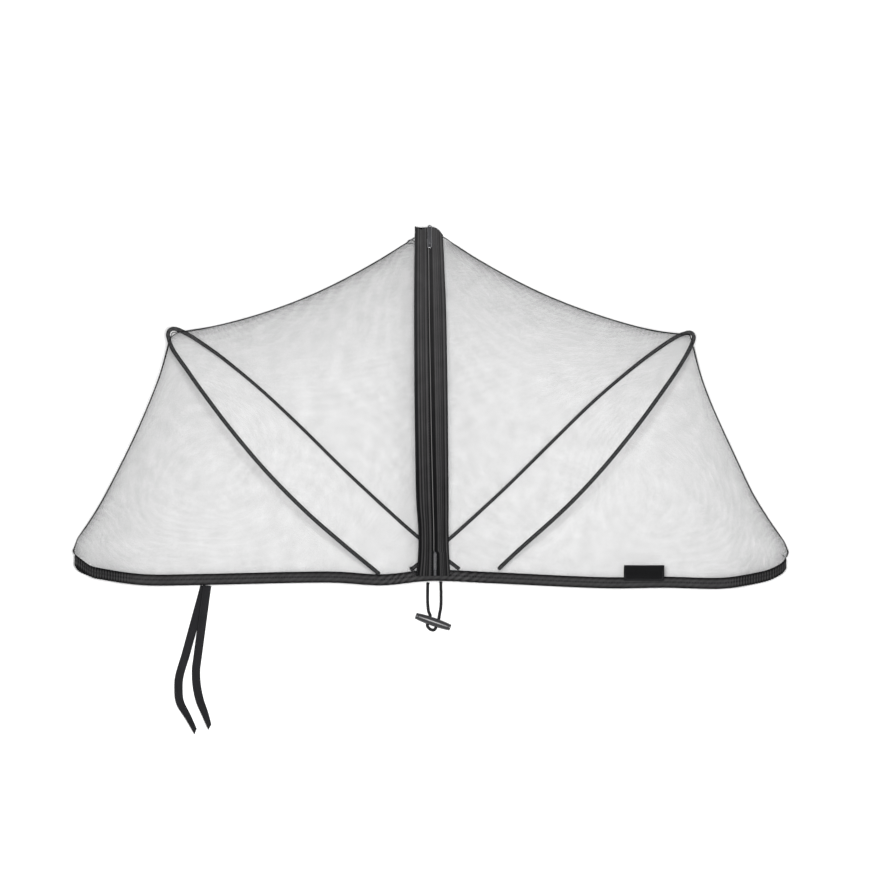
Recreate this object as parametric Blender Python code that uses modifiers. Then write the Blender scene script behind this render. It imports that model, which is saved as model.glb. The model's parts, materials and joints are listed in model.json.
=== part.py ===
"""Stroller mosquito net, laid on its back with its mouth towards -Y.

Two front nets and one back net meet along the outline. Two sprung hoops lift the front nets.
A zip band runs up the middle, an elastic binding closes the mouth, and ties and a toggle cord
lie below it. Everything is in metres, and the surface it rests on is z = 0.
"""
from collections import namedtuple
from math import cos, pi, radians, sin

import bmesh
import bpy
import numpy as np
from mathutils import Matrix, Vector
from mathutils.bvhtree import BVHTree

PlanPoint = namedtuple("PlanPoint", "x y")
HemRow = namedtuple("HemRow", "x low height")
ZipRow = namedtuple("ZipRow", "y left middle right height")
TieRow = namedtuple("TieRow", "x y turn lift")

# The places below are measured from the hem's middle; the part's origin lies under its flat back
ORIGIN = Vector((0.0, 0.150, 0.0))

# Thicknesses and gaps
NET_THICK = 0.0010
BINDING_THICK = 0.0020
TAPE_THICK = 0.0015
RIBBON_THICK = 0.0010
SEAM_GAP = 0.0016
HEM_GAP = 0.0014
CORNER_HEM_GAP = 0.0045
CORNER_START = 0.355
CORNER_BLEND = 0.035
TAPE_GAP = 0.0008

# Heights of the outline, where front and back nets meet
PEAK_HEIGHT = 0.018
TIP_HEIGHT = 0.038
CORNER_HEIGHT = 0.018
TIP_OPENING_RADIUS = 0.050
TIP_OPENING_BLEND = 0.030
FRONT_TIP_OPENING = 0.0068
BACK_TIP_OPENING = 0.0028
BACK_RISE_WIDTH = 0.080

# The outline in plan: from the top of the zip out to the hoop's tip, then down to the hem
LEFT_TOP = (
    PlanPoint(-0.0195, 0.3865),
    PlanPoint(-0.0640, 0.3580),
    PlanPoint(-0.1300, 0.3240),
    PlanPoint(-0.1980, 0.2990),
    PlanPoint(-0.2600, 0.2840),
    PlanPoint(-0.2885, 0.2815),
)
LEFT_SIDE = (
    PlanPoint(-0.2885, 0.2815),
    PlanPoint(-0.2960, 0.2520),
    PlanPoint(-0.3055, 0.2228),
    PlanPoint(-0.3265, 0.1727),
    PlanPoint(-0.3505, 0.1235),
    PlanPoint(-0.3690, 0.0890),
    PlanPoint(-0.3870, 0.0610),
    PlanPoint(-0.3965, 0.0495),
    PlanPoint(-0.3990, 0.0425),
)
RIGHT_TOP = (
    PlanPoint(0.0145, 0.3875),
    PlanPoint(0.0510, 0.3630),
    PlanPoint(0.1190, 0.3265),
    PlanPoint(0.1870, 0.3000),
    PlanPoint(0.2470, 0.2830),
    PlanPoint(0.2885, 0.2785),
)
RIGHT_SIDE = (
    PlanPoint(0.2885, 0.2785),
    PlanPoint(0.2980, 0.2400),
    PlanPoint(0.3100, 0.2061),
    PlanPoint(0.3255, 0.1710),
    PlanPoint(0.3415, 0.1370),
    PlanPoint(0.3600, 0.0985),
    PlanPoint(0.3870, 0.0570),
    PlanPoint(0.3965, 0.0465),
    PlanPoint(0.3990, 0.0405),
)
BACK_PEAK = PlanPoint(-0.0020, 0.3960)

# The hem: lower edge of the binding and the height of its front run
BINDING_WIDTH = 0.0117
HEM = (
    HemRow(-0.3990, 0.0265, 0.0180),
    HemRow(-0.3965, 0.0190, 0.0205),
    HemRow(-0.3880, 0.0122, 0.0232),
    HemRow(-0.3730, 0.0074, 0.0258),
    HemRow(-0.3430, 0.0020, 0.0285),
    HemRow(-0.3100, -0.0008, 0.0300),
    HemRow(-0.2500, 0.0000, 0.0320),
    HemRow(-0.1180, 0.0026, 0.0350),
    HemRow(-0.0550, -0.0005, 0.0360),
    HemRow(0.0000, 0.0045, 0.0360),
    HemRow(0.0660, 0.0020, 0.0360),
    HemRow(0.1880, -0.0036, 0.0340),
    HemRow(0.2600, -0.0032, 0.0320),
    HemRow(0.3200, -0.0045, 0.0300),
    HemRow(0.3520, -0.0007, 0.0282),
    HemRow(0.3760, 0.0048, 0.0256),
    HemRow(0.3890, 0.0108, 0.0232),
    HemRow(0.3965, 0.0180, 0.0205),
    HemRow(0.3990, 0.0245, 0.0180),
)

# The zip band, from the hem to its top end
ZIP = (
    ZipRow(0.0108, -0.0170, 0.0045, 0.0215, 0.0383),
    ZipRow(0.0320, -0.0145, 0.0045, 0.0203, 0.0500),
    ZipRow(0.0600, -0.0140, 0.0045, 0.0195, 0.0630),
    ZipRow(0.0970, -0.0164, 0.0035, 0.0195, 0.0770),
    ZipRow(0.1600, -0.0176, 0.0020, 0.0190, 0.0870),
    ZipRow(0.2160, -0.0183, 0.0010, 0.0184, 0.0830),
    ZipRow(0.3010, -0.0187, -0.0005, 0.0169, 0.0560),
    ZipRow(0.3500, -0.0185, -0.0010, 0.0150, 0.0340),
    ZipRow(0.3910, -0.0180, -0.0015, 0.0130, 0.0190),
)
TAPE_TOP_LEFT = (0.0090, 0.0065, 0.0050, 0.0068, 0.0080)
TAPE_TOP_RIGHT = (0.0085, 0.0080, 0.0070, 0.0045, -0.0010)
TAPE_RIDGES = (0.0000, 0.0007, 0.0000, 0.0007, 0.0002)
COIL_RADIUS = 0.0011
COIL_SLOT = 0.0016
COIL_LIFT = 0.0002
COIL_OVERRUN = 0.010

# The hoops: casing radii, how far the front leg arches up, and the routes in plan
FRONT_LEG_RADIUS = 0.0022
BACK_LEG_RADIUS = 0.0017
BACK_FOOT_RADIUS = 0.0021
LEG_ARCH = 0.085
LEG_TIP_LIFT = 0.002
LEG_SEAT = 0.0047
BACK_SEAT = 0.0028
CROSSING_LIFT = 0.0048
CROSSING_SPREAD = 0.014
LEFT_FRONT_LEG = (
    PlanPoint(-0.0580, 0.0130),
    PlanPoint(-0.0992, 0.0477),
    PlanPoint(-0.1387, 0.0829),
    PlanPoint(-0.1816, 0.1267),
    PlanPoint(-0.2217, 0.1740),
    PlanPoint(-0.2550, 0.2175),
    PlanPoint(-0.2712, 0.2401),
    PlanPoint(-0.2855, 0.2600),
    PlanPoint(-0.2905, 0.2700),
)
LEFT_TURN = (
    PlanPoint(-0.2925, 0.2795),
    PlanPoint(-0.2895, 0.2845),
    PlanPoint(-0.2835, 0.2848),
)
LEFT_BACK_LEG = (
    PlanPoint(-0.2770, 0.2822),
    PlanPoint(-0.2620, 0.2735),
    PlanPoint(-0.2312, 0.2517),
    PlanPoint(-0.1882, 0.2159),
    PlanPoint(-0.1439, 0.1743),
    PlanPoint(-0.0994, 0.1304),
    PlanPoint(-0.0496, 0.0840),
    PlanPoint(-0.0110, 0.0500),
    PlanPoint(0.0315, 0.0172),
)
RIGHT_FRONT_LEG = (
    PlanPoint(0.0725, 0.0150),
    PlanPoint(0.0989, 0.0403),
    PlanPoint(0.1469, 0.0840),
    PlanPoint(0.1874, 0.1267),
    PlanPoint(0.2275, 0.1756),
    PlanPoint(0.2590, 0.2181),
    PlanPoint(0.2743, 0.2399),
    PlanPoint(0.2870, 0.2605),
    PlanPoint(0.2910, 0.2690),
)
RIGHT_TURN = (
    PlanPoint(0.2930, 0.2765),
    PlanPoint(0.2895, 0.2815),
    PlanPoint(0.2825, 0.2805),
)
RIGHT_BACK_LEG = (
    PlanPoint(0.2745, 0.2775),
    PlanPoint(0.2600, 0.2685),
    PlanPoint(0.2289, 0.2456),
    PlanPoint(0.1809, 0.2046),
    PlanPoint(0.1306, 0.1555),
    PlanPoint(0.0838, 0.1093),
    PlanPoint(0.0319, 0.0615),
    PlanPoint(0.0100, 0.0430),
    PlanPoint(-0.0230, 0.0165),
)
CROSSING = PlanPoint(0.0030, 0.0380)

# Ties: route, turn about their own length (degrees) and lift off the surface
RIBBON_WIDTH = 0.0095
TIE_LEFT = (
    TieRow(-0.2530, -0.0024, 0, 0.0),
    TieRow(-0.2630, -0.0370, 0, 0.0),
    TieRow(-0.2720, -0.0720, 0, 0.0),
    TieRow(-0.2805, -0.1000, 0, 0.0),
    TieRow(-0.2820, -0.1170, 6, 0.0),
    TieRow(-0.2800, -0.1320, 20, 0.0),
    TieRow(-0.2710, -0.1480, 45, 0.0),
    TieRow(-0.2630, -0.1640, 62, 0.0),
)
TIE_RIGHT = (
    TieRow(-0.2500, -0.0016, 0, 0.0015),
    TieRow(-0.2530, -0.0330, 0, 0.0015),
    TieRow(-0.2580, -0.0610, 0, 0.0012),
    TieRow(-0.2620, -0.0890, 0, 0.0),
    TieRow(-0.2620, -0.1090, 0, 0.0),
    TieRow(-0.2585, -0.1280, 14, 0.0),
    TieRow(-0.2520, -0.1450, 40, 0.0),
    TieRow(-0.2470, -0.1590, 60, 0.0),
)

# Toggle and its cord
CORD_RADIUS = 0.00175
CORD_LIFT = 0.0003
CORD_MARGIN = 0.0010
TOGGLE_CENTRE = Vector((0.0023, -0.0412, 0.00475))
TOGGLE_TILT = radians(-19)
TOGGLE_LENGTH = 0.041
TOGGLE_END_RADIUS = 0.0035
TOGGLE_MID_RADIUS = 0.00475
TOGGLE_HOLE_RADIUS = 0.0024
TOGGLE_HOLE_OFFSET = 0.0050
CORD_LEFT_LEG = ((-0.0036, 0.0037), (-0.0038, -0.0172), (-0.0027, -0.0300))
CORD_LOOP = ((-0.0036, -0.0470), (0.0003, -0.0505), (0.0047, -0.0502))
CORD_RIGHT_LEG = ((0.0095, -0.0330), (0.0112, -0.0220), (0.0110, 0.0037))

# Slider, pull and tab
SLIDER_SIZE = (0.0075, 0.0100, 0.0026)
SLIDER_Y = 0.3810
SLIDER_LIFT = 0.0042
SLIDER_ROUNDING = 0.0008
PULL_SIZE = (0.0048, 0.0270, 0.0010)
PULL_Y = 0.3880
PULL_LIFT = 0.0063
PULL_ROUNDING = 0.0003
TAB_X = (0.2146, 0.2597)
TAB_Y = (0.0048, 0.0222)
TAB_THICK = 0.0008
TAB_GAP = 0.0007

# Counts and steps
CURVE_STEPS = 24
SLOPE_STEP = 0.003
HOOP_LEG_POINTS = 38
HOOP_TURN_POINTS = 8
ZIP_COLUMNS = 9
SIDE_COLUMNS = 9
NET_ROWS = 18
BACK_COLUMNS = 32
BACK_ROWS = 20
HEM_STEPS = 56
TAPE_ROWS = 20
TIE_ROWS = 24


def smooth_path(points, count):
    """Evenly spaced points on a smooth curve through the given ones."""
    points = np.array(points, dtype=float)
    before = 2 * points[:1] - points[1:2]
    after = 2 * points[-1:] - points[-2:-1]
    padded = np.vstack([before, points, after])
    dense = []
    for a, b, c, d in zip(padded, padded[1:], padded[2:], padded[3:]):
        for t in np.linspace(0, 1, CURVE_STEPS, endpoint=False):
            dense.append(0.5 * (2 * b + (c - a) * t + (2 * a - 5 * b + 4 * c - d) * t ** 2
                                + (3 * b - a - 3 * c + d) * t ** 3))
    dense.append(points[-1])
    dense = np.array(dense)
    run = np.concatenate([[0], np.cumsum(np.linalg.norm(np.diff(dense[:, :2], axis=0), axis=1))])
    stops = np.linspace(0, run[-1], count)
    return np.column_stack([np.interp(stops, run, column) for column in dense.T])


def smooth_step(value):
    """0 to 1 with level ends."""
    value = np.clip(value, 0, 1)
    return value * value * (3 - 2 * value)


HEM_PATH = smooth_path(HEM, 400)
ZIP_PATH = smooth_path(ZIP, 200)


def hem_low(x):
    """Lower edge of the binding at x."""
    return np.interp(x, HEM_PATH[:, 0], HEM_PATH[:, 1])


def hem_height(x):
    """Height of the front run of the hem at x."""
    return np.interp(x, HEM_PATH[:, 0], HEM_PATH[:, 2])


def net_hem(x):
    """Plan point of the nets' lower edge at x, just above the binding."""
    corner = smooth_step((abs(x) - CORNER_START) / CORNER_BLEND)
    gap = HEM_GAP + (CORNER_HEM_GAP - HEM_GAP) * corner
    return np.array([x, hem_low(x) + BINDING_WIDTH + gap])


def hem_line(stops):
    """The front nets' lower edge at the given x, with its height."""
    return np.array([[*net_hem(x), hem_height(x)] for x in stops])


def crowded(first, last, count, at_both_ends=False):
    """Values from first to last that crowd towards the last one, or towards both."""
    turn = np.linspace(0, pi, count) if at_both_ends else np.linspace(pi / 2, pi, count)
    part = -np.cos(turn)
    part = (part - part[0]) / (part[-1] - part[0])
    return first + (last - first) * part


def zip_value(y, column):
    """A column of the zip table at y."""
    return np.interp(y, ZIP_PATH[:, 0], ZIP_PATH[:, ZipRow._fields.index(column)])


def tip_opening(points, tip):
    """1 at a tip, where the hoop passes between the nets, falling to 0 away from it."""
    distance = np.hypot(points[:, 0] - tip[0], points[:, 1] - tip[1])
    return smooth_step((TIP_OPENING_RADIUS - distance) / TIP_OPENING_BLEND)


def outline(top, side, count, direction):
    """One half of the outline, as top and side runs with the height of the front or back net."""
    stand_off = (NET_THICK + SEAM_GAP) / 2
    opening = FRONT_TIP_OPENING if direction > 0 else BACK_TIP_OPENING
    runs = []
    for points, first, last in ((top, PEAK_HEIGHT, TIP_HEIGHT), (side, TIP_HEIGHT, CORNER_HEIGHT)):
        run = smooth_path(points, count)
        height = np.linspace(first, last, count)
        height = height + direction * (stand_off + opening * tip_opening(run, top[-1]))
        runs.append(np.column_stack([run, height]))
    return runs


def joined(*runs):
    """One path from runs that share their end points."""
    return np.vstack([runs[0]] + [run[1:] for run in runs[1:]])


def nearest_on(path, x, y):
    """Distance in plan from (x, y) to a path, and the path's height at that place."""
    start = path[:-1]
    step = np.diff(path, axis=0)
    offset = np.array([x, y]) - start[:, :2]
    along = (offset * step[:, :2]).sum(axis=1) / (step[:, :2] ** 2).sum(axis=1)
    near = start + step * np.clip(along, 0, 1)[:, None]
    distance = np.hypot(near[:, 0] - x, near[:, 1] - y)
    best = distance.argmin()
    return distance[best], near[best, 2]


def patch(bottom, top, start, end):
    """Plan points that fill the space between four edges."""
    u = np.linspace(0, 1, len(bottom))[None, :, None]
    v = np.linspace(0, 1, len(start))[:, None, None]
    between_rows = (1 - v) * bottom[None] + v * top[None]
    between_sides = (1 - u) * start[:, None] + u * end[:, None]
    corners = ((1 - u) * (1 - v) * bottom[0] + u * (1 - v) * bottom[-1]
               + (1 - u) * v * top[0] + u * v * top[-1])
    return between_rows + between_sides - corners


def leg_line(leg, count):
    """The front leg's centre line with its arch, from the hem to the tip."""
    line = smooth_path(leg, count)
    fraction = np.linspace(0, 1, count)
    foot = hem_height(leg[0].x) - LEG_SEAT
    height = foot + (TIP_HEIGHT + LEG_TIP_LIFT - foot) * fraction + LEG_ARCH * np.sin(pi * fraction)
    return np.column_stack([line, height])


def front_grid(top, side, leg, zip_edge):
    """Points of one front net, from the zip band over the hoop's leg to the side."""
    sign = 1 if top[0].x > 0 else -1
    top_run, side_run = outline(top, side, 80, 1)
    foot = net_hem(leg[0].x)
    crest = leg_line(leg, 60)
    climb = np.gradient(crest[:, 2]) / np.hypot(np.gradient(crest[:, 0]), np.gradient(crest[:, 1]))
    crest[:, 2] += LEG_SEAT * np.sqrt(1 + climb ** 2)
    ridge = np.vstack([[*foot, hem_height(foot[0])], crest[2:], top_run[-1:]])
    ridge = smooth_path(ridge, NET_ROWS + 1)
    edge_y = np.linspace(net_hem(ZIP[0].left)[1], top[0].y, NET_ROWS + 1)
    edge_x = zip_value(edge_y, zip_edge) + sign * TAPE_GAP
    band = np.column_stack([edge_x, edge_y, zip_value(edge_y, "height")])
    band[0] = [band[0, 0], *net_hem(band[0, 0])[1:], hem_height(band[0, 0])]
    band[-1] = top_run[0]
    side_edge = smooth_path(side_run[::-1], NET_ROWS + 1)
    inner_hem = hem_line(np.linspace(band[0, 0], foot[0], ZIP_COLUMNS + 1))
    outer_hem = hem_line(crowded(foot[0], side_edge[0, 0], SIDE_COLUMNS + 1))
    side_edge[0] = outer_hem[-1]
    tip = np.repeat(top_run[-1:], SIDE_COLUMNS + 1, axis=0)
    inner = patch(inner_hem, smooth_path(top_run, ZIP_COLUMNS + 1), band, ridge)
    outer = patch(outer_hem, tip, ridge, side_edge)
    return np.concatenate([inner, outer[:, 1:]], axis=1)


def back_outline():
    """The outline of the back net as left side, top and right side, with heights."""
    left_top, left_side = outline(LEFT_TOP, LEFT_SIDE, 60, -1)
    right_top, right_side = outline(RIGHT_TOP, RIGHT_SIDE, 60, -1)
    peak = np.array([[*BACK_PEAK, left_top[0, 2]]])
    left_top = np.vstack([left_top[::-1], peak])
    right_top = np.vstack([peak, right_top])
    return left_side[::-1], left_top, right_top, right_side


BACK_RUNS = back_outline()
BACK_EDGE = joined(*BACK_RUNS)


def back_height(x, y):
    """Height of the back net: flat on the surface, rising to the outline."""
    distance, edge = nearest_on(BACK_EDGE, x, y)
    flat = NET_THICK / 2
    return flat + (edge - flat) * (1 - smooth_step(distance / BACK_RISE_WIDTH))


def back_seat(x, y):
    """Height at which a back leg's centre line rests on the back net."""
    slope_x = (back_height(x + SLOPE_STEP, y) - back_height(x - SLOPE_STEP, y)) / (2 * SLOPE_STEP)
    slope_y = (back_height(x, y + SLOPE_STEP) - back_height(x, y - SLOPE_STEP)) / (2 * SLOPE_STEP)
    return back_height(x, y) + NET_THICK / 2 + BACK_SEAT * np.sqrt(1 + slope_x ** 2 + slope_y ** 2)


def parts_collection():
    collection = bpy.data.collections.new("parts")
    bpy.context.scene.collection.children.link(collection)
    return collection


def add_part(name, data, colour, roughness, metallic=0.0):
    """An object in the parts collection with a material of its own."""
    part = bpy.data.objects.new(name, data)
    bpy.data.collections["parts"].objects.link(part)
    material = bpy.data.materials.new(name + "_material")
    material.use_nodes = True
    shader = material.node_tree.nodes["Principled BSDF"]
    shader.inputs["Base Color"].default_value = (*colour, 1.0)
    shader.inputs["Roughness"].default_value = roughness
    shader.inputs["Metallic"].default_value = metallic
    data.materials.append(material)
    return part


def grid_mesh(name, columns, rows, place):
    """A grid whose vertices are set by place(column, row), with doubled points merged."""
    bm = bmesh.new()
    bmesh.ops.create_grid(bm, x_segments=columns, y_segments=rows, size=0.5)
    for vertex in bm.verts:
        column = round((vertex.co.x + 0.5) * columns)
        row = round((vertex.co.y + 0.5) * rows)
        vertex.co = place(column, row)
    bmesh.ops.remove_doubles(bm, verts=bm.verts, dist=1e-5)
    bmesh.ops.recalc_face_normals(bm, faces=bm.faces)
    mesh = bpy.data.meshes.new(name)
    bm.to_mesh(mesh)
    bm.free()
    return mesh


def thicken(part, thickness):
    solidify = part.modifiers.new("thickness", "SOLIDIFY")
    solidify.thickness = thickness
    solidify.offset = 0.0
    return part


def tube(name, points, radii, colour, roughness):
    """A round rod along points, with one radius for each of them."""
    curve = bpy.data.curves.new(name, "CURVE")
    curve.dimensions = "3D"
    curve.bevel_depth = 1.0
    curve.bevel_resolution = 2
    curve.use_fill_caps = True
    spline = curve.splines.new("POLY")
    spline.points.add(len(points) - 1)
    for knot, point, radius in zip(spline.points, points, radii):
        knot.co = (*point, 1.0)
        knot.radius = radius
    return add_part(name, curve, colour, roughness)


def front_net(name, *edges):
    points = front_grid(*edges)

    def place(column, row):
        return Vector(points[row, column])

    mesh = grid_mesh(name, ZIP_COLUMNS + SIDE_COLUMNS, NET_ROWS, place)
    return thicken(add_part(name, mesh, (0.05, 0.05, 0.055), 0.8), NET_THICK)


def back_net():
    left_side, left_top, right_top, right_side = BACK_RUNS
    half = BACK_COLUMNS // 2
    top = joined(smooth_path(left_top[:, :2], half + 1), smooth_path(right_top[:, :2], half + 1))
    start = smooth_path(left_side[:, :2], BACK_ROWS + 1)
    end = smooth_path(right_side[::-1, :2], BACK_ROWS + 1)
    hem_x = crowded(start[0, 0], end[0, 0], BACK_COLUMNS + 1, at_both_ends=True)
    bottom = np.array([net_hem(x) for x in hem_x])
    start[0], end[0] = bottom[0], bottom[-1]
    plan = patch(bottom, top, start, end)

    def place(column, row):
        x, y = plan[row, column]
        return Vector((x, y, back_height(x, y)))

    mesh = grid_mesh("net_back", BACK_COLUMNS, BACK_ROWS, place)
    return thicken(add_part("net_back", mesh, (0.05, 0.05, 0.055), 0.8), NET_THICK)


def hem_binding():
    """The closed loop of tape: front run to the right, back run to the left."""
    run = smooth_path(HEM, HEM_STEPS + 1)
    front = [(x, low, height) for x, low, height in run]
    lift = BINDING_THICK / 2 - NET_THICK / 2
    back = [(x, low, back_height(x, low + BINDING_WIDTH) + lift) for x, low, _ in run[::-1]]
    back[0] = front[-1]
    back[-1] = front[0]
    loop = front + back[1:]

    def place(column, row):
        x, y, z = loop[column]
        return Vector((x, y + row * BINDING_WIDTH, z))

    mesh = grid_mesh("hem_binding", len(loop) - 1, 1, place)
    return thicken(add_part("hem_binding", mesh, (0.03, 0.03, 0.032), 0.75), BINDING_THICK)


def zip_tape(name, inner, outer, top_steps, sign):
    """One ridged tape between the coil and the net."""
    last = len(TAPE_RIDGES) - 1
    rows = np.linspace(ZIP[0].y, ZIP[-1].y, TAPE_ROWS + 1)

    def place(column, row):
        y = rows[row]
        inside = zip_value(y, inner) + sign * COIL_SLOT
        x = inside + (zip_value(y, outer) - inside) * column / last
        z = zip_value(y, "height") + TAPE_RIDGES[column]
        if row == TAPE_ROWS:
            y += top_steps[column]
        return Vector((x, y, z))

    mesh = grid_mesh(name, last, TAPE_ROWS, place)
    return thicken(add_part(name, mesh, (0.03, 0.03, 0.032), 0.7), TAPE_THICK)


def zip_coil():
    y = np.linspace(ZIP[0].y, ZIP[-1].y + COIL_OVERRUN, 60)
    x = zip_value(y, "middle")
    z = zip_value(y, "height") + COIL_LIFT
    return tube("zip_coil", np.column_stack([x, y, z]), [COIL_RADIUS] * len(y), (0.06, 0.06, 0.065), 0.5)


def band_block(name, size, y, lift, rounding):
    """A small rounded block lying on the zip band at y."""
    reach = size[1] / 2
    rise = zip_value(y + reach, "height") - zip_value(y - reach, "height")
    bm = bmesh.new()
    bmesh.ops.create_cube(bm, size=1.0)
    bmesh.ops.scale(bm, vec=size, verts=bm.verts)
    mesh = bpy.data.meshes.new(name)
    bm.to_mesh(mesh)
    bm.free()
    block = add_part(name, mesh, (0.05, 0.05, 0.055), 0.35, 0.3)
    middle = (zip_value(y + reach, "height") + zip_value(y - reach, "height")) / 2
    block.location = (zip_value(y, "middle"), y, middle + lift)
    block.rotation_euler = (rise / size[1], 0, 0)
    bevel = block.modifiers.new("rounding", "BEVEL")
    bevel.width = rounding
    bevel.segments = 2
    return block


def hoop(name, leg, turn, back_leg, lift_at=None):
    """The wire in its casing: up the front leg, round the tip and down the back leg."""
    front = leg_line(leg, HOOP_LEG_POINTS)
    tip = np.array([[x, y, TIP_HEIGHT] for x, y in turn])
    plan = smooth_path(back_leg, HOOP_LEG_POINTS)
    heights = []
    for x, y in plan:
        z = back_seat(x, y)
        if lift_at:
            distance = np.hypot(x - lift_at.x, y - lift_at.y)
            z += CROSSING_LIFT * np.exp(-(distance / CROSSING_SPREAD) ** 2)
        heights.append(z)
    back = np.column_stack([plan, heights])
    turn_line = smooth_path(np.vstack([front[-1:], tip, back[:1]]), HOOP_TURN_POINTS + 2)[1:-1]
    points = np.vstack([front, turn_line, back])
    start = len(front) + HOOP_TURN_POINTS
    thin = start + HOOP_TURN_POINTS
    end = len(points) - 1
    foot = end - HOOP_LEG_POINTS // 3
    radii = np.interp(np.arange(len(points)), (start, thin, foot, end),
                      (FRONT_LEG_RADIUS, BACK_LEG_RADIUS, BACK_LEG_RADIUS, BACK_FOOT_RADIUS))
    return tube(name, points, radii, (0.045, 0.045, 0.048), 0.6)


def tie(name, rows):
    """A flat ribbon along its route, turned about its own length."""
    route = smooth_path(rows, TIE_ROWS + 1)
    ahead = np.gradient(route[:, :2], axis=0)

    def place(column, row):
        x, y, turn, lift = route[row]
        along = Vector((*ahead[row], 0)).normalized()
        across = Vector((along.y, -along.x, 0))
        tilt = radians(turn)
        reach = RIBBON_WIDTH / 2
        rise = max(lift, 0) + abs(sin(tilt)) * (reach + RIBBON_THICK / 4)
        centre = Vector((x, y, RIBBON_THICK / 2 + rise))
        return centre + (column - 1) * reach * (across * cos(tilt) + Vector((0, 0, sin(tilt))))

    mesh = grid_mesh(name, 2, TIE_ROWS, place)
    return thicken(add_part(name, mesh, (0.035, 0.035, 0.038), 0.7), RIBBON_THICK)


def toggle_place():
    """Matrix from the toggle's own axes, with X along the barrel, to where it lies."""
    return Matrix.Translation(TOGGLE_CENTRE) @ Matrix.Rotation(TOGGLE_TILT, 4, "Z")


def cylinder_cutter(name, place, radius, depth):
    bm = bmesh.new()
    bmesh.ops.create_cone(bm, cap_ends=True, segments=20, radius1=radius, radius2=radius, depth=depth)
    bmesh.ops.transform(bm, matrix=place, verts=bm.verts)
    mesh = bpy.data.meshes.new(name)
    bm.to_mesh(mesh)
    bm.free()
    cutter = bpy.data.objects.new(name, mesh)
    bpy.data.collections["cutters"].objects.link(cutter)
    cutter.hide_render = True
    return cutter


def toggle_barrel():
    """A turned barrel, thicker in the middle, with two holes across it for the cord."""
    mesh = bpy.data.meshes.new("toggle_barrel")
    bm = bmesh.new()
    steps = 8
    half = TOGGLE_LENGTH / 2
    profile = [bm.verts.new((0, 0, -half))]
    for along in np.linspace(-1, 1, steps + 1):
        radius = TOGGLE_MID_RADIUS + (TOGGLE_END_RADIUS - TOGGLE_MID_RADIUS) * along ** 2
        profile.append(bm.verts.new((radius, 0, along * half)))
    profile.append(bm.verts.new((0, 0, half)))
    for first, second in zip(profile, profile[1:]):
        bm.edges.new((first, second))
    bm.to_mesh(mesh)
    bm.free()
    barrel = add_part("toggle_barrel", mesh, (0.05, 0.05, 0.055), 0.35)
    barrel.matrix_world = toggle_place() @ Matrix.Rotation(pi / 2, 4, "Y")
    screw = barrel.modifiers.new("turned", "SCREW")
    screw.angle = 2 * pi
    screw.steps = screw.render_steps = 28
    screw.use_merge_vertices = True
    screw.merge_threshold = 1e-5
    screw.use_normal_calculate = True
    for number, offset in enumerate((-TOGGLE_HOLE_OFFSET, TOGGLE_HOLE_OFFSET)):
        place = toggle_place() @ Matrix.Translation((offset, 0, 0)) @ Matrix.Rotation(pi / 2, 4, "X")
        cutter = cylinder_cutter(f"toggle_hole_{number}", place, TOGGLE_HOLE_RADIUS, 0.03)
        cut = barrel.modifiers.new(f"hole_{number}", "BOOLEAN")
        cut.operation = "DIFFERENCE"
        cut.solver = "EXACT"
        cut.object = cutter
    return barrel


def toggle_cord():
    """One cord: out of the hem, through the toggle, round a small loop and back."""
    low = CORD_RADIUS + CORD_LIFT
    through = TOGGLE_CENTRE.z
    side = TOGGLE_MID_RADIUS + CORD_MARGIN
    route = [Vector((x, y, low)) for x, y in CORD_LEFT_LEG]
    for y in (side, 0, -side):
        route.append(toggle_place() @ Vector((-TOGGLE_HOLE_OFFSET, y, 0)))
    route += [Vector((x, y, through - CORD_MARGIN)) for x, y in CORD_LOOP]
    for y in (-side, 0, side):
        route.append(toggle_place() @ Vector((TOGGLE_HOLE_OFFSET, y, 0)))
    route += [Vector((x, y, low)) for x, y in CORD_RIGHT_LEG]
    points = smooth_path([tuple(point) for point in route], 60)
    return tube("toggle_cord", points, [CORD_RADIUS] * len(points), (0.03, 0.03, 0.032), 0.7)


def label_tab(net):
    """The small cloth tab sewn over the binding and the foot of the right net."""
    columns, rows = 6, 6
    surface = BVHTree.FromObject(net, bpy.context.evaluated_depsgraph_get())

    def place(column, row):
        x = TAB_X[0] + (TAB_X[1] - TAB_X[0]) * column / columns
        y = TAB_Y[0] + (TAB_Y[1] - TAB_Y[0]) * row / rows
        top = hem_height(x) + BINDING_THICK / 2
        hit = surface.ray_cast(Vector((x, y, 1)), Vector((0, 0, -1)))[0]
        if hit:
            top = max(top, hit.z)
        return Vector((x, y, top + TAB_GAP + TAB_THICK / 2))

    mesh = grid_mesh("label_tab", columns, rows, place)
    return thicken(add_part("label_tab", mesh, (0.02, 0.02, 0.022), 0.6), TAB_THICK)


def move_to_origin():
    """Hang every piece on one empty, which puts the origin under the middle of the flat back."""
    anchor = bpy.data.objects.new("anchor", None)
    bpy.context.scene.collection.objects.link(anchor)
    anchor.location = -ORIGIN
    for name in ("parts", "cutters"):
        for item in bpy.data.collections[name].objects:
            item.parent = anchor


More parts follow.
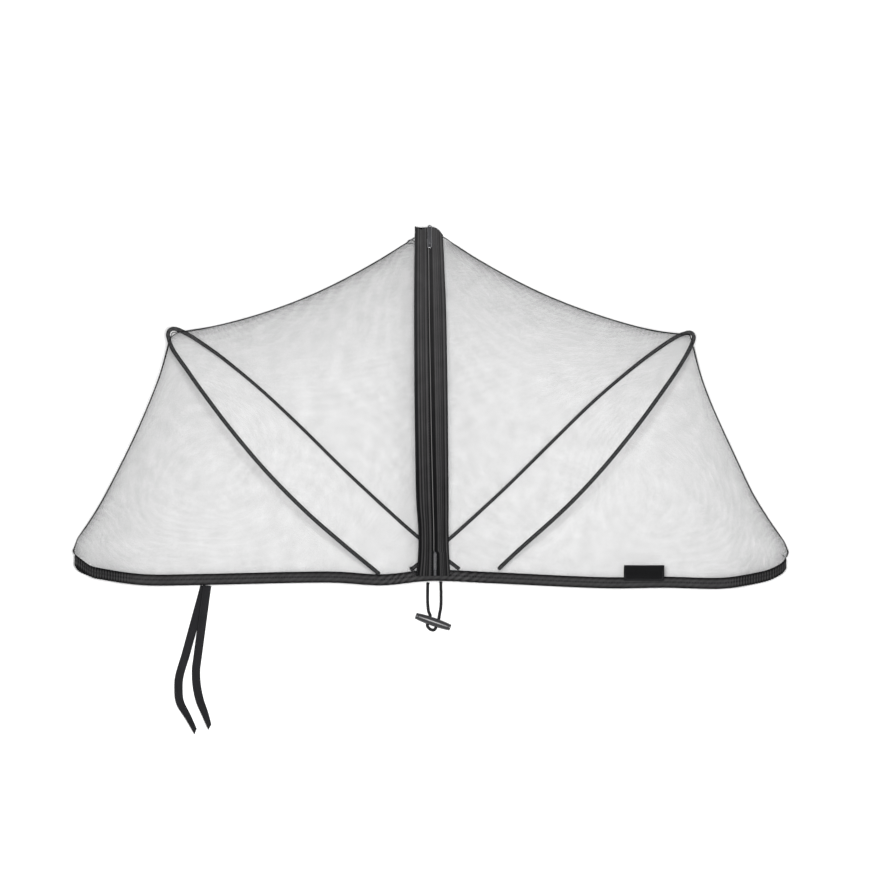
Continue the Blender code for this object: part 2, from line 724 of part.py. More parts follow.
def main():
    for item in list(bpy.data.objects):
        bpy.data.objects.remove(item)
    parts_collection()
    cutters = bpy.data.collections.new("cutters")
    bpy.context.scene.collection.children.link(cutters)
    front_net("net_front_left", LEFT_TOP, LEFT_SIDE, LEFT_FRONT_LEG, "left")
    right_net = front_net("net_front_right", RIGHT_TOP, RIGHT_SIDE, RIGHT_FRONT_LEG, "right")
    back_net()
    hem_binding()
    hoop("hoop_left", LEFT_FRONT_LEG, LEFT_TURN, LEFT_BACK_LEG)
    hoop("hoop_right", RIGHT_FRONT_LEG, RIGHT_TURN, RIGHT_BACK_LEG, CROSSING)
    zip_tape("zip_tape_left", "middle", "left", TAPE_TOP_LEFT[::-1], -1)
    zip_tape("zip_tape_right", "middle", "right", TAPE_TOP_RIGHT, 1)
    zip_coil()
    band_block("zip_slider", SLIDER_SIZE, SLIDER_Y, SLIDER_LIFT, SLIDER_ROUNDING)
    band_block("zip_pull", PULL_SIZE, PULL_Y, PULL_LIFT, PULL_ROUNDING)
    tie("tie_left", TIE_LEFT)
    tie("tie_right", TIE_RIGHT)
    toggle_barrel()
    toggle_cord()
    label_tab(right_net)
    move_to_origin()


main()
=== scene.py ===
"""Looks of a stroller mosquito net, laid on its back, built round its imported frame.

Each sewn piece has an operator of its own, listed in the sidebar. Sizes and colours are scene
properties. Lengths are in metres.
"""
import json
from collections import namedtuple
from math import cos, pi, radians, sin, tau

import bmesh
import bpy
import numpy as np
from mathutils import Matrix, Vector
from mathutils.kdtree import KDTree

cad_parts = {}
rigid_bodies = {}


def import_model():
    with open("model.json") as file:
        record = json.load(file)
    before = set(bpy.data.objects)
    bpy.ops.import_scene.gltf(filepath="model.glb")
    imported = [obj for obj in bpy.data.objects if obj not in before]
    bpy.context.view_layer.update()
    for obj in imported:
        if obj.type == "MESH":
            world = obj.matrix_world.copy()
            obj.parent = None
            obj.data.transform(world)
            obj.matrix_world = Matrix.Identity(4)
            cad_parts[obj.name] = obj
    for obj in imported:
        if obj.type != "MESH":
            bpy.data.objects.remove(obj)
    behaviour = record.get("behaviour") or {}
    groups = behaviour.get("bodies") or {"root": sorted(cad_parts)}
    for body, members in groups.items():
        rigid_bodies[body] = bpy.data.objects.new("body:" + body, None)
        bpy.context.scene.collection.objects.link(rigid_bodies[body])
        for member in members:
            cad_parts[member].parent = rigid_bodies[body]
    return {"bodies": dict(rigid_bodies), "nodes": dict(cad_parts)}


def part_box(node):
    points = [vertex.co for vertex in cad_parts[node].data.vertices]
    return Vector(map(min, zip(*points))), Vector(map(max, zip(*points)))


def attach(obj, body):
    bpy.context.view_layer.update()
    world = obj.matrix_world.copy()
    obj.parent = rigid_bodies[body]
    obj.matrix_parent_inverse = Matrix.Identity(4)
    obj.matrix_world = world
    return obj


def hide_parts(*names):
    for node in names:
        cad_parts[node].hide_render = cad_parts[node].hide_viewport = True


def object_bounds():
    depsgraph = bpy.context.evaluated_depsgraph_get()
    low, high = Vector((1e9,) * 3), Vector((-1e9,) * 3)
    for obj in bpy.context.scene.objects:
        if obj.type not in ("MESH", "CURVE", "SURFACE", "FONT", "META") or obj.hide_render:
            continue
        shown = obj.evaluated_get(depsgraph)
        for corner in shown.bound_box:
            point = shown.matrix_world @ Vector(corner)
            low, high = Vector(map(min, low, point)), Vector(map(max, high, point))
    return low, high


bl_info = {
    "name": "Stroller Net Maker",
    "version": (1, 0, 0),
    "blender": (4, 5, 0),
    "location": "3D View > Sidebar > Net",
    "description": "Builds the net panels, binding, hoops, zip, ties and toggle of a stroller net",
    "category": "Object",
}

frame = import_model()
CAD_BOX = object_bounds()
NODES = frame["nodes"]
BODY = next(iter(frame["bodies"]))

TieRow = namedtuple("TieRow", "x y turn lift")

# Camera and floor
CAMERA_HEIGHT = 12.0
SENSOR_WIDTH = 36.0
VIEW_WIDTH = 0.9759
VIEW_SHIFT = Vector((0.0078, 0.0458, 0.0))
FOCUS_HEIGHT = 0.03
FLOOR_SIZE = 40.0

# Net panels
SEAM_SLOPE = radians(50)
PANEL_LEVELS = 3
BACK_CELL = 0.008
NET_THICK = 0.0004
SEAM_RADIUS = 0.00045
ZIP_HALF = 0.024
HEM_REACH = 0.0075
HEM_TUCK = 0.0007
HEM_BLEND = 0.014
HOOP_CLEARANCE = 0.0012

# Toggle and cord
TOGGLE_CENTRE = Vector((0.0023, -0.1912, 0.00475))
TOGGLE_TILT = radians(-19)
TOGGLE_LENGTH = 0.041
TOGGLE_END_RADIUS = 0.0035
TOGGLE_MID_RADIUS = 0.00475
TOGGLE_HOLE_RADIUS = 0.0022
TOGGLE_HOLE_OFFSET = 0.0050
TOGGLE_RIM = 0.0008
CORD_RADIUS = 0.00175

# Binding and zip
BINDING_WIDTH = 0.0117
BINDING_THICK = 0.0020
FRONT_RUN_HEIGHT = 0.0175
TAPE_THICK = 0.0015
FLAP_START = -0.1150
FLAP_REACH = 0.0027
COIL_PITCH = 0.0013
COIL_WIRE = 0.00030
COIL_HALF_WIDTH = 0.0009
COIL_HALF_HEIGHT = 0.0008
COIL_OFFSET = 0.0006
SLIDER_SIZE = (0.0074, 0.0098, 0.0022)
PULL_HALF_WIDTH = 0.0020
PULL_HALF_LENGTH = 0.0128
PULL_BEND = 0.0016
FLAP_EDGE_RADIUS = 0.00042
LEFT_RIBS = ((0.27, 0.055, 0.8), (0.45, 0.06, 0.9), (0.60, 0.05, 0.55), (0.78, 0.07, 0.9))
RIGHT_RIBS = ((0.30, 0.05, 0.9), (0.42, 0.05, 0.8), (0.55, 0.05, 0.7), (0.67, 0.04, 0.5), (0.84, 0.06, 1.0))

# Ties: route, turn about their own length (degrees) and lift off the surface
TIE_LEFT = (
    TieRow(-0.2530, -0.1516, 0, 0.0),
    TieRow(-0.2630, -0.1870, 0, 0.0),
    TieRow(-0.2720, -0.2220, 0, 0.0),
    TieRow(-0.2805, -0.2500, 0, 0.0),
    TieRow(-0.2820, -0.2670, 6, 0.0),
    TieRow(-0.2800, -0.2820, 20, 0.0),
    TieRow(-0.2710, -0.2980, 45, 0.0),
    TieRow(-0.2630, -0.3140, 62, 0.0),
)
TIE_RIGHT = (
    TieRow(-0.2500, -0.1508, 0, 0.0015),
    TieRow(-0.2530, -0.1830, 0, 0.0015),
    TieRow(-0.2580, -0.2110, 0, 0.0012),
    TieRow(-0.2620, -0.2390, 0, 0.0),
    TieRow(-0.2620, -0.2590, 0, 0.0),
    TieRow(-0.2585, -0.2780, 14, 0.0),
    TieRow(-0.2520, -0.2950, 40, 0.0),
    TieRow(-0.2470, -0.3090, 60, 0.0),
)
RIBBON_WIDTH = 0.0095
RIBBON_THICK = 0.0009


# ---------------------------------------------------------------- curves and reading the frame

def smooth_step(value):
    """0 to 1 with level ends."""
    value = np.clip(value, 0, 1)
    return value * value * (3 - 2 * value)


def smooth_path(points, count, closed=False):
    """Evenly spaced points on a smooth curve through the given ones."""
    points = np.asarray(points, dtype=float)
    if closed:
        padded = np.vstack([points[-1:], points, points[:2]])
    else:
        padded = np.vstack([2 * points[:1] - points[1:2], points, 2 * points[-1:] - points[-2:-1]])
    t = np.linspace(0, 1, 24, endpoint=False)[:, None]
    dense = [0.5 * (2 * b + (c - a) * t + (2 * a - 5 * b + 4 * c - d) * t ** 2
                    + (3 * b - a - 3 * c + d) * t ** 3)
             for a, b, c, d in zip(padded, padded[1:], padded[2:], padded[3:])]
    dense = np.vstack(dense + [points[:1] if closed else points[-1:]])
    run = np.concatenate([[0], np.cumsum(np.linalg.norm(np.diff(dense[:, :3], axis=0), axis=1))])
    stops = np.linspace(0, run[-1], count, endpoint=not closed)
    return np.column_stack([np.interp(stops, run, column) for column in dense.T])


def lengths_along(path, closed=False):
    """Distance along a path at each point, and back at the start for a closed one."""
    path = np.vstack([path, path[:1]]) if closed else path
    return np.concatenate([[0], np.cumsum(np.linalg.norm(np.diff(path, axis=0), axis=1))])


def unit(vectors):
    return vectors / np.maximum(np.linalg.norm(vectors, axis=-1, keepdims=True), 1e-12)


def tangents(path, closed=False):
    """Unit directions along a path."""
    if closed:
        return unit(np.roll(path, -1, axis=0) - np.roll(path, 1, axis=0))
    return unit(np.gradient(path, axis=0))


def wobble(values, seed, wave):
    """A smooth, fixed wander between -1 and 1 along a length."""
    turn = np.random.default_rng(seed).uniform(0, tau, 4)
    total = sum(np.sin(tau * values / (wave * scale) + phase)
                for scale, phase in zip((1.0, 1.73, 0.61, 2.9), turn))
    return total / 4


def merged(node):
    """A CAD node's mesh with its loose triangles joined up."""
    bm = bmesh.new()
    bm.from_mesh(NODES[node].data)
    bmesh.ops.remove_doubles(bm, verts=bm.verts, dist=1e-5)
    bmesh.ops.join_triangles(bm, faces=bm.faces, angle_face_threshold=1.2, angle_shape_threshold=pi)
    return bm


def tube_line(node):
    """Centre points and radii of a CAD tube, from one end ring to the other."""
    bm = merged(node)
    rim = [edge for edge in bm.edges if edge.calc_face_angle(0) > radians(68)]
    ring = {rim[0].verts[0]}
    grown = True
    while grown:
        wider = ring | {v for edge in rim for v in edge.verts if ring & set(edge.verts)}
        grown, ring = len(wider) > len(ring), wider
    least, rings, seen = len(ring) / 2, [], set()
    while len(ring) > least:
        rings.append(np.array([v.co for v in ring]))
        seen |= ring
        ring = {e.other_vert(v) for v in ring for e in v.link_edges} - seen
    bm.free()
    centres = np.array([points.mean(axis=0) for points in rings])
    radii = [np.median(np.linalg.norm(np.cross(points - centre, ahead), axis=1))
             for points, centre, ahead in zip(rings, centres, tangents(centres))]
    return centres, np.array(radii)


def binding_line():
    """Middle of the binding at each of its stations, round the closed loop."""
    bm = merged("hem_binding")
    tops = {}
    for edge in bm.edges:
        low, high = sorted(edge.verts, key=lambda v: v.co.y)
        step = high.co - low.co
        if step.length > 0.008 and step.y > 0.9 * step.length:
            tops[low] = high
    start = max(tops, key=lambda v: v.co.z)
    at, last, middles = start, None, []
    for _ in range(len(tops)):
        near = [v for v in (edge.other_vert(at) for edge in at.link_edges) if v in tops]

        def straightness(vertex):
            one, two = [(v.co - at.co).normalized() for v in near if v != vertex][:2]
            return one.dot(two)

        across = min(near, key=straightness)
        middles.append(np.mean([at.co, tops[at].co, across.co, tops[across].co], axis=0))
        at, last = next(v for v in near if v not in (across, last)), at
        if at == start:
            break
    else:
        raise RuntimeError("the binding's stations do not close into a loop")
    bm.free()
    return np.array(middles)


def skin(node, upward):
    """The upper or lower face of a CAD sheet, without its edges."""
    bm = merged(node)
    sign = 1 if upward else -1
    bm.normal_update()
    first = max(bm.faces, key=lambda face: sign * face.normal.z * face.calc_area())
    keep, front = {first}, [first]
    while front:
        face = front.pop()
        for other in {f for edge in face.edges for f in edge.link_faces} - keep:
            if face.normal.angle(other.normal) < SEAM_SLOPE:
                keep.add(other)
                front.append(other)
    bmesh.ops.delete(bm, geom=[face for face in bm.faces if face not in keep], context="FACES")
    return bm


def tape_rows(node):
    """Rows of a tape as y, left x, right x and height, and the shape of its top end."""
    bm = skin(node, True)
    points = np.array([v.co for v in bm.verts])
    bm.free()
    rows = {}
    for point in points:
        rows.setdefault(round(point[1], 4), []).append(point)
    full = np.array([[y, min(p[0] for p in row), max(p[0] for p in row), min(p[2] for p in row)]
                     for y, row in sorted(rows.items()) if len(row) >= 5])
    end = points[points[:, 1] > full[-1, 0] + 0.001]
    return full, end[end[:, 0].argsort()]


def nearest_to(path):
    """A search tree over the points of a path."""
    tree = KDTree(len(path))
    for index, point in enumerate(path):
        tree.insert(point, index)
    tree.balance()
    return tree


# ---------------------------------------------------------------- meshes

def object_from(name, mesh):
    piece = bpy.data.objects.new(name, mesh)
    bpy.context.scene.collection.objects.link(piece)
    return piece


def choose(piece):
    """Select only this piece and make it the active one."""
    bpy.ops.object.select_all(action="DESELECT")
    piece.select_set(True)
    bpy.context.view_layer.objects.active = piece


def soften(piece, angle=40):
    choose(piece)
    bpy.ops.object.shade_smooth_by_angle(angle=radians(angle))


def apply_modifiers(piece):
    choose(piece)
    for modifier in list(piece.modifiers):
        bpy.ops.object.modifier_apply(modifier=modifier.name)


def set_attribute(mesh, name, values):
    """A number for each point of a mesh, for its material to read."""
    layer = mesh.attributes.new(name, "FLOAT", "POINT")
    layer.data.foreach_set("value", np.asarray(values, dtype=np.float32))


def loft(name, rings, across, along, closed_path=False, painted_shading=None):
    """A closed solid through rings of points, with UVs that run across and along in metres."""
    rows, cols = rings.shape[:2]
    row, col = np.meshgrid(np.arange(rows if closed_path else rows - 1), np.arange(cols), indexing="ij")
    row, col = row.ravel(), col.ravel()
    corner_row = np.stack([row, row, row + 1, row + 1], axis=1)
    corner_col = np.stack([col, col + 1, col + 1, col], axis=1)
    faces = ((corner_row % rows) * cols + corner_col % cols).tolist()
    uvs = np.stack([across[corner_col], along[corner_row]], axis=2).reshape(-1, 2)
    if not closed_path:
        for end, order in ((0, -1), (rows - 1, 1)):
            faces.append([end * cols + k for k in range(cols)][::order])
            cap = np.column_stack([across[:cols], np.full(cols, along[end])])[::order]
            uvs = np.vstack([uvs, cap])
    mesh = bpy.data.meshes.new(name)
    mesh.from_pydata(rings.reshape(-1, 3), [], faces)
    mesh.uv_layers.new(name="UVMap").data.foreach_set("uv", uvs.astype(np.float32).ravel())
    # Painted light and shade: a number per point that lightens the cloth colour where light is painted and
    # darkens it where shade is painted.
    if painted_shading is not None:
        set_attribute(mesh, "painted_shading", np.broadcast_to(painted_shading, (rows, cols)).ravel())
    turn_outwards(mesh)
    piece = object_from(name, mesh)
    soften(piece)
    return piece


def turn_outwards(mesh):
    bm = bmesh.new()
    bm.from_mesh(mesh)
    bmesh.ops.recalc_face_normals(bm, faces=bm.faces)
    bm.to_mesh(mesh)
    bm.free()


def across_frames(path, up=(0, 0, 1), closed=False):
    """Side and upward directions for each point of a path."""
    ahead = tangents(path, closed)
    side = unit(np.cross(ahead, np.broadcast_to(up, ahead.shape)))
    return side, np.cross(side, ahead)


def rod(name, path, radius, sides=10, closed=False, painted_shading=None):
    """A round solid along a path. radius is a number or a table of one for each point and side."""
    side, above = across_frames(path, closed=closed)
    turn = np.linspace(0, tau, sides, endpoint=False)
    radius = np.broadcast_to(np.asarray(radius, dtype=float), (len(path), sides))
    rings = path[:, None] + radius[..., None] * (
        np.cos(turn)[None, :, None] * side[:, None] + np.sin(turn)[None, :, None] * above[:, None])
    across = np.linspace(0, tau * radius.mean(), sides + 1)
    return loft(name, rings, across, lengths_along(path, closed), closed, painted_shading)


def join_all(name, pieces):
    """One object from several, under the given name."""
    bpy.ops.object.select_all(action="DESELECT")
    for piece in pieces:
        piece.select_set(True)
    bpy.context.view_layer.objects.active = pieces[0]
    bpy.ops.object.join()
    pieces[0].name = pieces[0].data.name = name
    return pieces[0]


def stitch_row(name, path, normals, length=0.0021, pitch=0.0031, radius=0.00022):
    """A row of short sewn stitches that lie along a path."""
    run = lengths_along(path)
    starts = np.arange(pitch / 2, run[-1] - length, pitch)
    shape = np.array([0.35, 0.95, 1.0, 0.95, 0.35])
    rise = np.array([-0.6, 0.3, 0.6, 0.3, -0.6]) * radius
    turn = np.linspace(0, tau, 5, endpoint=False)
    vertices, faces = [], []
    for start in starts:
        at = np.linspace(start, start + length, len(shape))
        centre = np.column_stack([np.interp(at, run, axis) for axis in path.T])
        up = unit(np.array([np.interp(start, run, axis) for axis in normals.T]))
        ahead = unit(centre[-1] - centre[0])
        side = unit(np.cross(ahead, up))
        centre = centre + rise[:, None] * up
        ring = centre[:, None] + radius * shape[:, None, None] * (
            np.cos(turn)[None, :, None] * side + np.sin(turn)[None, :, None] * up)
        base = len(vertices)
        vertices.extend(ring.reshape(-1, 3))
        count = len(turn)
        for row in range(len(shape) - 1):
            for col in range(count):
                after = (col + 1) % count
                faces.append([base + row * count + col, base + row * count + after,
                              base + (row + 1) * count + after, base + (row + 1) * count + col])
        faces.append([base + col for col in range(count)][::-1])
        faces.append([base + (len(shape) - 1) * count + col for col in range(count)])
    mesh = bpy.data.meshes.new(name)
    mesh.from_pydata(np.array(vertices), [], faces)
    turn_outwards(mesh)
    piece = object_from(name, mesh)
    soften(piece, 60)
    return piece


def finish_piece(piece, material, replaces=()):
    """Give a piece its material and its body, and hide the CAD nodes that it stands for."""
    piece.data.materials.clear()
    piece.data.materials.append(material)
    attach(piece, BODY)
    if replaces:
        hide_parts(*replaces)
    return piece


# ---------------------------------------------------------------- materials

def add_node(tree, kind, **values):
    """A shader node with its settings, and its inputs by name or number."""
    node = tree.nodes.new(kind)
    for key, value in values.items():
        if key.startswith("in_"):
            socket = node.inputs[int(key[3:])]
            if isinstance(value, bpy.types.NodeSocket):
                tree.links.new(value, socket)
            else:
                socket.default_value = value
        else:
            setattr(node, key, value)
    return node


def maths(tree, operation, first, second=0.0, third=0.0):
    node = add_node(tree, "ShaderNodeMath", operation=operation, in_0=first, in_1=second, in_2=third)
    return node.outputs[0]


def group_tree(name, inputs, outputs):
    """A new node group with named sockets, and its input and output nodes."""
    tree = bpy.data.node_groups.new(name, "ShaderNodeTree")
    for socket, kind, default in inputs:
        made = tree.interface.new_socket(socket, in_out="INPUT", socket_type=kind)
        if default is not None:
            made.default_value = default
    for socket in outputs:
        tree.interface.new_socket(socket, in_out="OUTPUT", socket_type="NodeSocketFloat")
    return tree, tree.nodes.new("NodeGroupInput"), tree.nodes.new("NodeGroupOutput")


def net_threads_group():
    """Fine mesh: how much of the surface the threads cover, place by place."""
    tree, start, end = group_tree(
        "net_threads",
        [("Vector", "NodeSocketVector", None), ("Pitch", "NodeSocketFloat", 0.0009),
         ("Cover", "NodeSocketFloat", 0.1)],
        ["Alpha", "Height"])
    split = add_node(tree, "ShaderNodeSeparateXYZ", in_0=start.outputs["Vector"])
    lines = []
    for axis in range(2):
        turns = maths(tree, "DIVIDE", split.outputs[axis], start.outputs["Pitch"])
        wave = maths(tree, "COSINE", maths(tree, "MULTIPLY", turns, tau))
        lines.append(maths(tree, "POWER", maths(tree, "MULTIPLY_ADD", wave, 0.5, 0.5), 4.0))
    both = maths(tree, "ADD", lines[0], lines[1])
    share = maths(tree, "MULTIPLY_ADD", both, 1.46, 0.2)
    tree.links.new(maths(tree, "MULTIPLY", share, start.outputs["Cover"]), end.inputs["Alpha"])
    tree.links.new(both, end.inputs["Height"])
    return tree


def weave_group():
    """Plain weave: thread height and the dark gaps between threads."""
    tree, start, end = group_tree(
        "plain_weave",
        [("Vector", "NodeSocketVector", None), ("Warp Pitch", "NodeSocketFloat", 0.0006),
         ("Weft Pitch", "NodeSocketFloat", 0.0006)],
        ["Height", "Gap"])
    split = add_node(tree, "ShaderNodeSeparateXYZ", in_0=start.outputs["Vector"])
    waves, turns = [], []
    for axis, pitch in ((0, "Warp Pitch"), (1, "Weft Pitch")):
        turn = maths(tree, "DIVIDE", split.outputs[axis], start.outputs[pitch])
        turns.append(turn)
        waves.append(maths(tree, "ABSOLUTE", maths(tree, "SINE", maths(tree, "MULTIPLY", turn, pi))))
    checker = maths(tree, "PINGPONG", maths(tree, "ADD", maths(tree, "FLOOR", turns[0]),
                                            maths(tree, "FLOOR", turns[1])), 1.0)
    warp = maths(tree, "MULTIPLY", waves[0], maths(tree, "MULTIPLY_ADD", checker, 0.5, 0.5))
    weft = maths(tree, "MULTIPLY", waves[1], maths(tree, "MULTIPLY_ADD", checker, -0.5, 1.0))
    height = maths(tree, "MAXIMUM", warp, weft)
    tree.links.new(height, end.inputs["Height"])
    tree.links.new(maths(tree, "SUBTRACT", 1.0, height), end.inputs["Gap"])
    return tree


def dye_group():
    """Uneven dye and lint: a slow drift and fine flecks."""
    tree, start, end = group_tree(
        "uneven_dye", [("Vector", "NodeSocketVector", None), ("Strength", "NodeSocketFloat", 0.3)],
        ["Factor", "Fleck"])
    slow = add_node(tree, "ShaderNodeTexNoise", in_0=start.outputs["Vector"])
    slow.inputs["Scale"].default_value = 60.0
    slow.inputs["Detail"].default_value = 3.0
    fine = add_node(tree, "ShaderNodeTexNoise", in_0=start.outputs["Vector"])
    fine.inputs["Scale"].default_value = 900.0
    fine.inputs["Detail"].default_value = 2.0
    mixed = maths(tree, "ADD", maths(tree, "MULTIPLY", slow.outputs[0], 0.6),
                  maths(tree, "MULTIPLY", fine.outputs[0], 0.4))
    spread = maths(tree, "MULTIPLY", maths(tree, "SUBTRACT", mixed, 0.5), start.outputs["Strength"])
    tree.links.new(maths(tree, "ADD", spread, 1.0), end.inputs["Factor"])
    tree.links.new(maths(tree, "GREATER_THAN", fine.outputs[0], 0.70), end.inputs["Fleck"])
    return tree


def use_group(tree, name, vector):
    makers = {"net_threads": net_threads_group, "plain_weave": weave_group, "uneven_dye": dye_group}
    made = bpy.data.node_groups.get(name) or makers[name]()
    node = add_node(tree, "ShaderNodeGroup", node_tree=made)
    tree.links.new(vector, node.inputs["Vector"])
    return node


def start_material(name):
    material = bpy.data.materials.new(name)
    material.use_nodes = True
    tree = material.node_tree
    return material, tree, tree.nodes["Principled BSDF"]


def tinted(tree, low, high, factor, shade):
    """A colour between two, by a factor, then darkened or lightened by a shade."""
    mixed = add_node(tree, "ShaderNodeMix", data_type="RGBA")
    mixed.inputs[6].default_value = (*low, 1.0)
    mixed.inputs[7].default_value = (*high, 1.0)
    tree.links.new(factor, mixed.inputs[0])
    scaled = add_node(tree, "ShaderNodeVectorMath", operation="SCALE", in_0=mixed.outputs[2])
    tree.links.new(shade, scaled.inputs["Scale"])
    return scaled.outputs[0]


def raise_threads(tree, shader, height, distance, strength=0.6):
    bump = add_node(tree, "ShaderNodeBump")
    bump.inputs["Distance"].default_value = distance
    bump.inputs["Strength"].default_value = strength
    tree.links.new(height, bump.inputs["Height"])
    tree.links.new(bump.outputs[0], shader.inputs["Normal"])


def cloth_material(name, dark, light, warp=0.0006, weft=0.0006, depth=0.00015, roughness=0.85):
    """Woven cloth with painted light and shade: lighter on its crests and on the tops of its threads, darker
    in its folds and in the gaps of the weave.
    """
    material, tree, shader = start_material(name)
    place = add_node(tree, "ShaderNodeTexCoord")
    weave = use_group(tree, "plain_weave", place.outputs["UV"])
    weave.inputs["Warp Pitch"].default_value = warp
    weave.inputs["Weft Pitch"].default_value = weft
    dye = use_group(tree, "uneven_dye", place.outputs["Object"])
    dye.inputs["Strength"].default_value = 0.9
    # Painted light and shade laid on each piece: this number lightens the colour where light would catch and
    # darkens it where shade would fall.
    painted_shading = add_node(tree, "ShaderNodeAttribute", attribute_name="painted_shading")
    # Painted shade in the weave: lighter on the threads' tops, darker in the gaps between them.
    thread = maths(tree, "MULTIPLY_ADD", weave.outputs["Height"], 0.35, -0.2)
    fleck = maths(tree, "MULTIPLY", dye.outputs["Fleck"], 0.2)
    factor = maths(tree, "ADD", maths(tree, "ADD", painted_shading.outputs["Fac"], thread), fleck)
    factor = add_node(tree, "ShaderNodeClamp", in_0=factor).outputs[0]
    tree.links.new(tinted(tree, dark, light, factor, dye.outputs["Factor"]), shader.inputs["Base Color"])
    rough = maths(tree, "MULTIPLY_ADD", weave.outputs["Gap"], 0.1, roughness - 0.05)
    tree.links.new(rough, shader.inputs["Roughness"])
    shader.inputs["Specular IOR Level"].default_value = 0.06
    raise_threads(tree, shader, weave.outputs["Height"], depth)
    return material


def net_material(look):
    """Sheer knitted mesh, closer where it is gathered into a seam."""
    material, tree, shader = start_material("sheer_net")
    place = add_node(tree, "ShaderNodeTexCoord")
    gather = add_node(tree, "ShaderNodeAttribute", attribute_name="gather")
    threads = use_group(tree, "net_threads", place.outputs["UV"])
    threads.inputs["Pitch"].default_value = look.mesh_pitch
    cover = maths(tree, "ADD", gather.outputs["Fac"], look.net_cover)
    tree.links.new(cover, threads.inputs["Cover"])
    alpha = add_node(tree, "ShaderNodeClamp", in_0=threads.outputs["Alpha"])
    tree.links.new(alpha.outputs[0], shader.inputs["Alpha"])
    dye = use_group(tree, "uneven_dye", place.outputs["Object"])
    # Painted light and shade on the threads: lighter on their tops and crossings, darker at their sides.
    low = tuple(channel * 0.75 for channel in look.thread_colour)
    tree.links.new(tinted(tree, low, look.thread_colour, threads.outputs["Height"], dye.outputs["Factor"]),
                   shader.inputs["Base Color"])
    shader.inputs["Roughness"].default_value = 0.8
    shader.inputs["Specular IOR Level"].default_value = 0.2
    return material


def thread_material(name, colour):
    """Spun sewing thread."""
    material, tree, shader = start_material(name)
    place = add_node(tree, "ShaderNodeTexCoord")
    dye = use_group(tree, "uneven_dye", place.outputs["Object"])
    low = tuple(channel * 0.5 for channel in colour)
    tree.links.new(tinted(tree, low, colour, dye.outputs["Factor"], dye.outputs["Factor"]),
                   shader.inputs["Base Color"])
    shader.inputs["Roughness"].default_value = 0.6
    return material


def moulded_material(name, colour, rough_low, rough_high, metallic=0.0, grain=0.00003):
    """Moulded or painted surface with fine grain and uneven gloss."""
    material, tree, shader = start_material(name)
    place = add_node(tree, "ShaderNodeTexCoord")
    dye = use_group(tree, "uneven_dye", place.outputs["Object"])
    dye.inputs["Strength"].default_value = 0.5
    high = tuple(min(1.0, channel * 1.25) for channel in colour)
    tree.links.new(tinted(tree, colour, high, dye.outputs["Fleck"], dye.outputs["Factor"]),
                   shader.inputs["Base Color"])
    rough = add_node(tree, "ShaderNodeMapRange", in_0=dye.outputs["Factor"])
    rough.inputs[1].default_value, rough.inputs[2].default_value = 0.8, 1.2
    rough.inputs[3].default_value, rough.inputs[4].default_value = rough_low, rough_high
    tree.links.new(rough.outputs[0], shader.inputs["Roughness"])
    shader.inputs["Metallic"].default_value = metallic
    raise_threads(tree, shader, dye.outputs["Factor"], grain, 0.4)
    return material


def shared_material(name, maker, *values, **named):
    return bpy.data.materials.get(name) or maker(name, *values, **named)


# ---------------------------------------------------------------- settings

def colour_setting(title, what, default):
    return bpy.props.FloatVectorProperty(
        name=title, description=what, subtype="COLOR", size=3, min=0.0, max=1.0, default=default)


def length_setting(title, what, default):
    return bpy.props.FloatProperty(
        name=title, description=what, subtype="DISTANCE", unit="LENGTH",
        min=0.0, default=default, precision=5)


class NetLook(bpy.types.PropertyGroup):
    """Sizes and colours that a user would change."""
    thread_colour: colour_setting("Net thread", "Colour of the fine net's threads", (0.035, 0.035, 0.038))
    net_cover: bpy.props.FloatProperty(
        name="Net cover", description="Share of the net's surface that its threads fill",
        min=0.0, max=1.0, default=0.082)
    mesh_pitch: length_setting("Mesh pitch", "Distance between threads of the net", 0.00085)
    # Painted shade and painted light: every cloth takes the first colour in its folds and grooves, and
    # binding, tapes and seams take the second on their crests.
    trim_shade_colour: colour_setting(
        "Trim folds", "Colour of binding and tapes in their folds",
        (0.003, 0.003, 0.0033))
    trim_lit_colour: colour_setting(
        "Trim crests", "Colour of binding and tapes on their crests",
        (0.050, 0.049, 0.050))
    casing_light: colour_setting(
        "Casing", "Colour of the hoop casings where they catch light",
        (0.045, 0.045, 0.046))
    ribbon_light: colour_setting(
        "Ribbon", "Colour of the tie ribbons where they catch light",
        (0.020, 0.020, 0.022))
    # Painted light: the cord's colour where its strands catch light.
    cord_light: colour_setting("Cord", "Colour of the toggle cord's outer threads", (0.030, 0.030, 0.032))
    piping_colour: colour_setting(
        "Flap edge", "Colour of the bright edge along the zip flap",
        (0.11, 0.108, 0.108))
    plastic_colour: colour_setting("Toggle", "Colour of the moulded toggle", (0.018, 0.018, 0.020))
    metal_colour: colour_setting("Slider", "Colour of the zip's slider", (0.06, 0.06, 0.065))
    # Painted highlight: the light metal colour of the pull's rim stands in for the highlights along its
    # edges.
    pull_highlight_colour: colour_setting("Pull rim", "Colour of the bright rim of the zip pull", (0.30, 0.30, 0.31))
    tab_colour: colour_setting("Tab", "Colour of the small cloth tab", (0.012, 0.012, 0.013))
    floor_colour: colour_setting("Floor", "Colour of the floor", (0.90, 0.90, 0.90))
    gather_height: length_setting("Gathers", "Height of the binding's gathers at its corners", 0.00040)
    stitch_length: length_setting("Stitch", "Length of a sewn stitch", 0.0021)


def cloth(look, name, light, **named):
    return shared_material(name, cloth_material, look.trim_shade_colour, light, **named)


def dark_thread(look):
    return shared_material("sewing_thread", thread_material, look.ribbon_light)


# ---------------------------------------------------------------- stage

def area_light(name, place, aim, size, power):
    """A round soft light that the camera does not see."""
    light = bpy.data.lights.new(name, "AREA")
    light.shape, light.size, light.energy = "DISK", size, power
    lamp = object_from(name, light)
    lamp.location = place
    lamp.rotation_euler = (Vector(aim) - Vector(place)).to_track_quat("-Z", "Y").to_euler()
    lamp.visible_camera = False
    return lamp


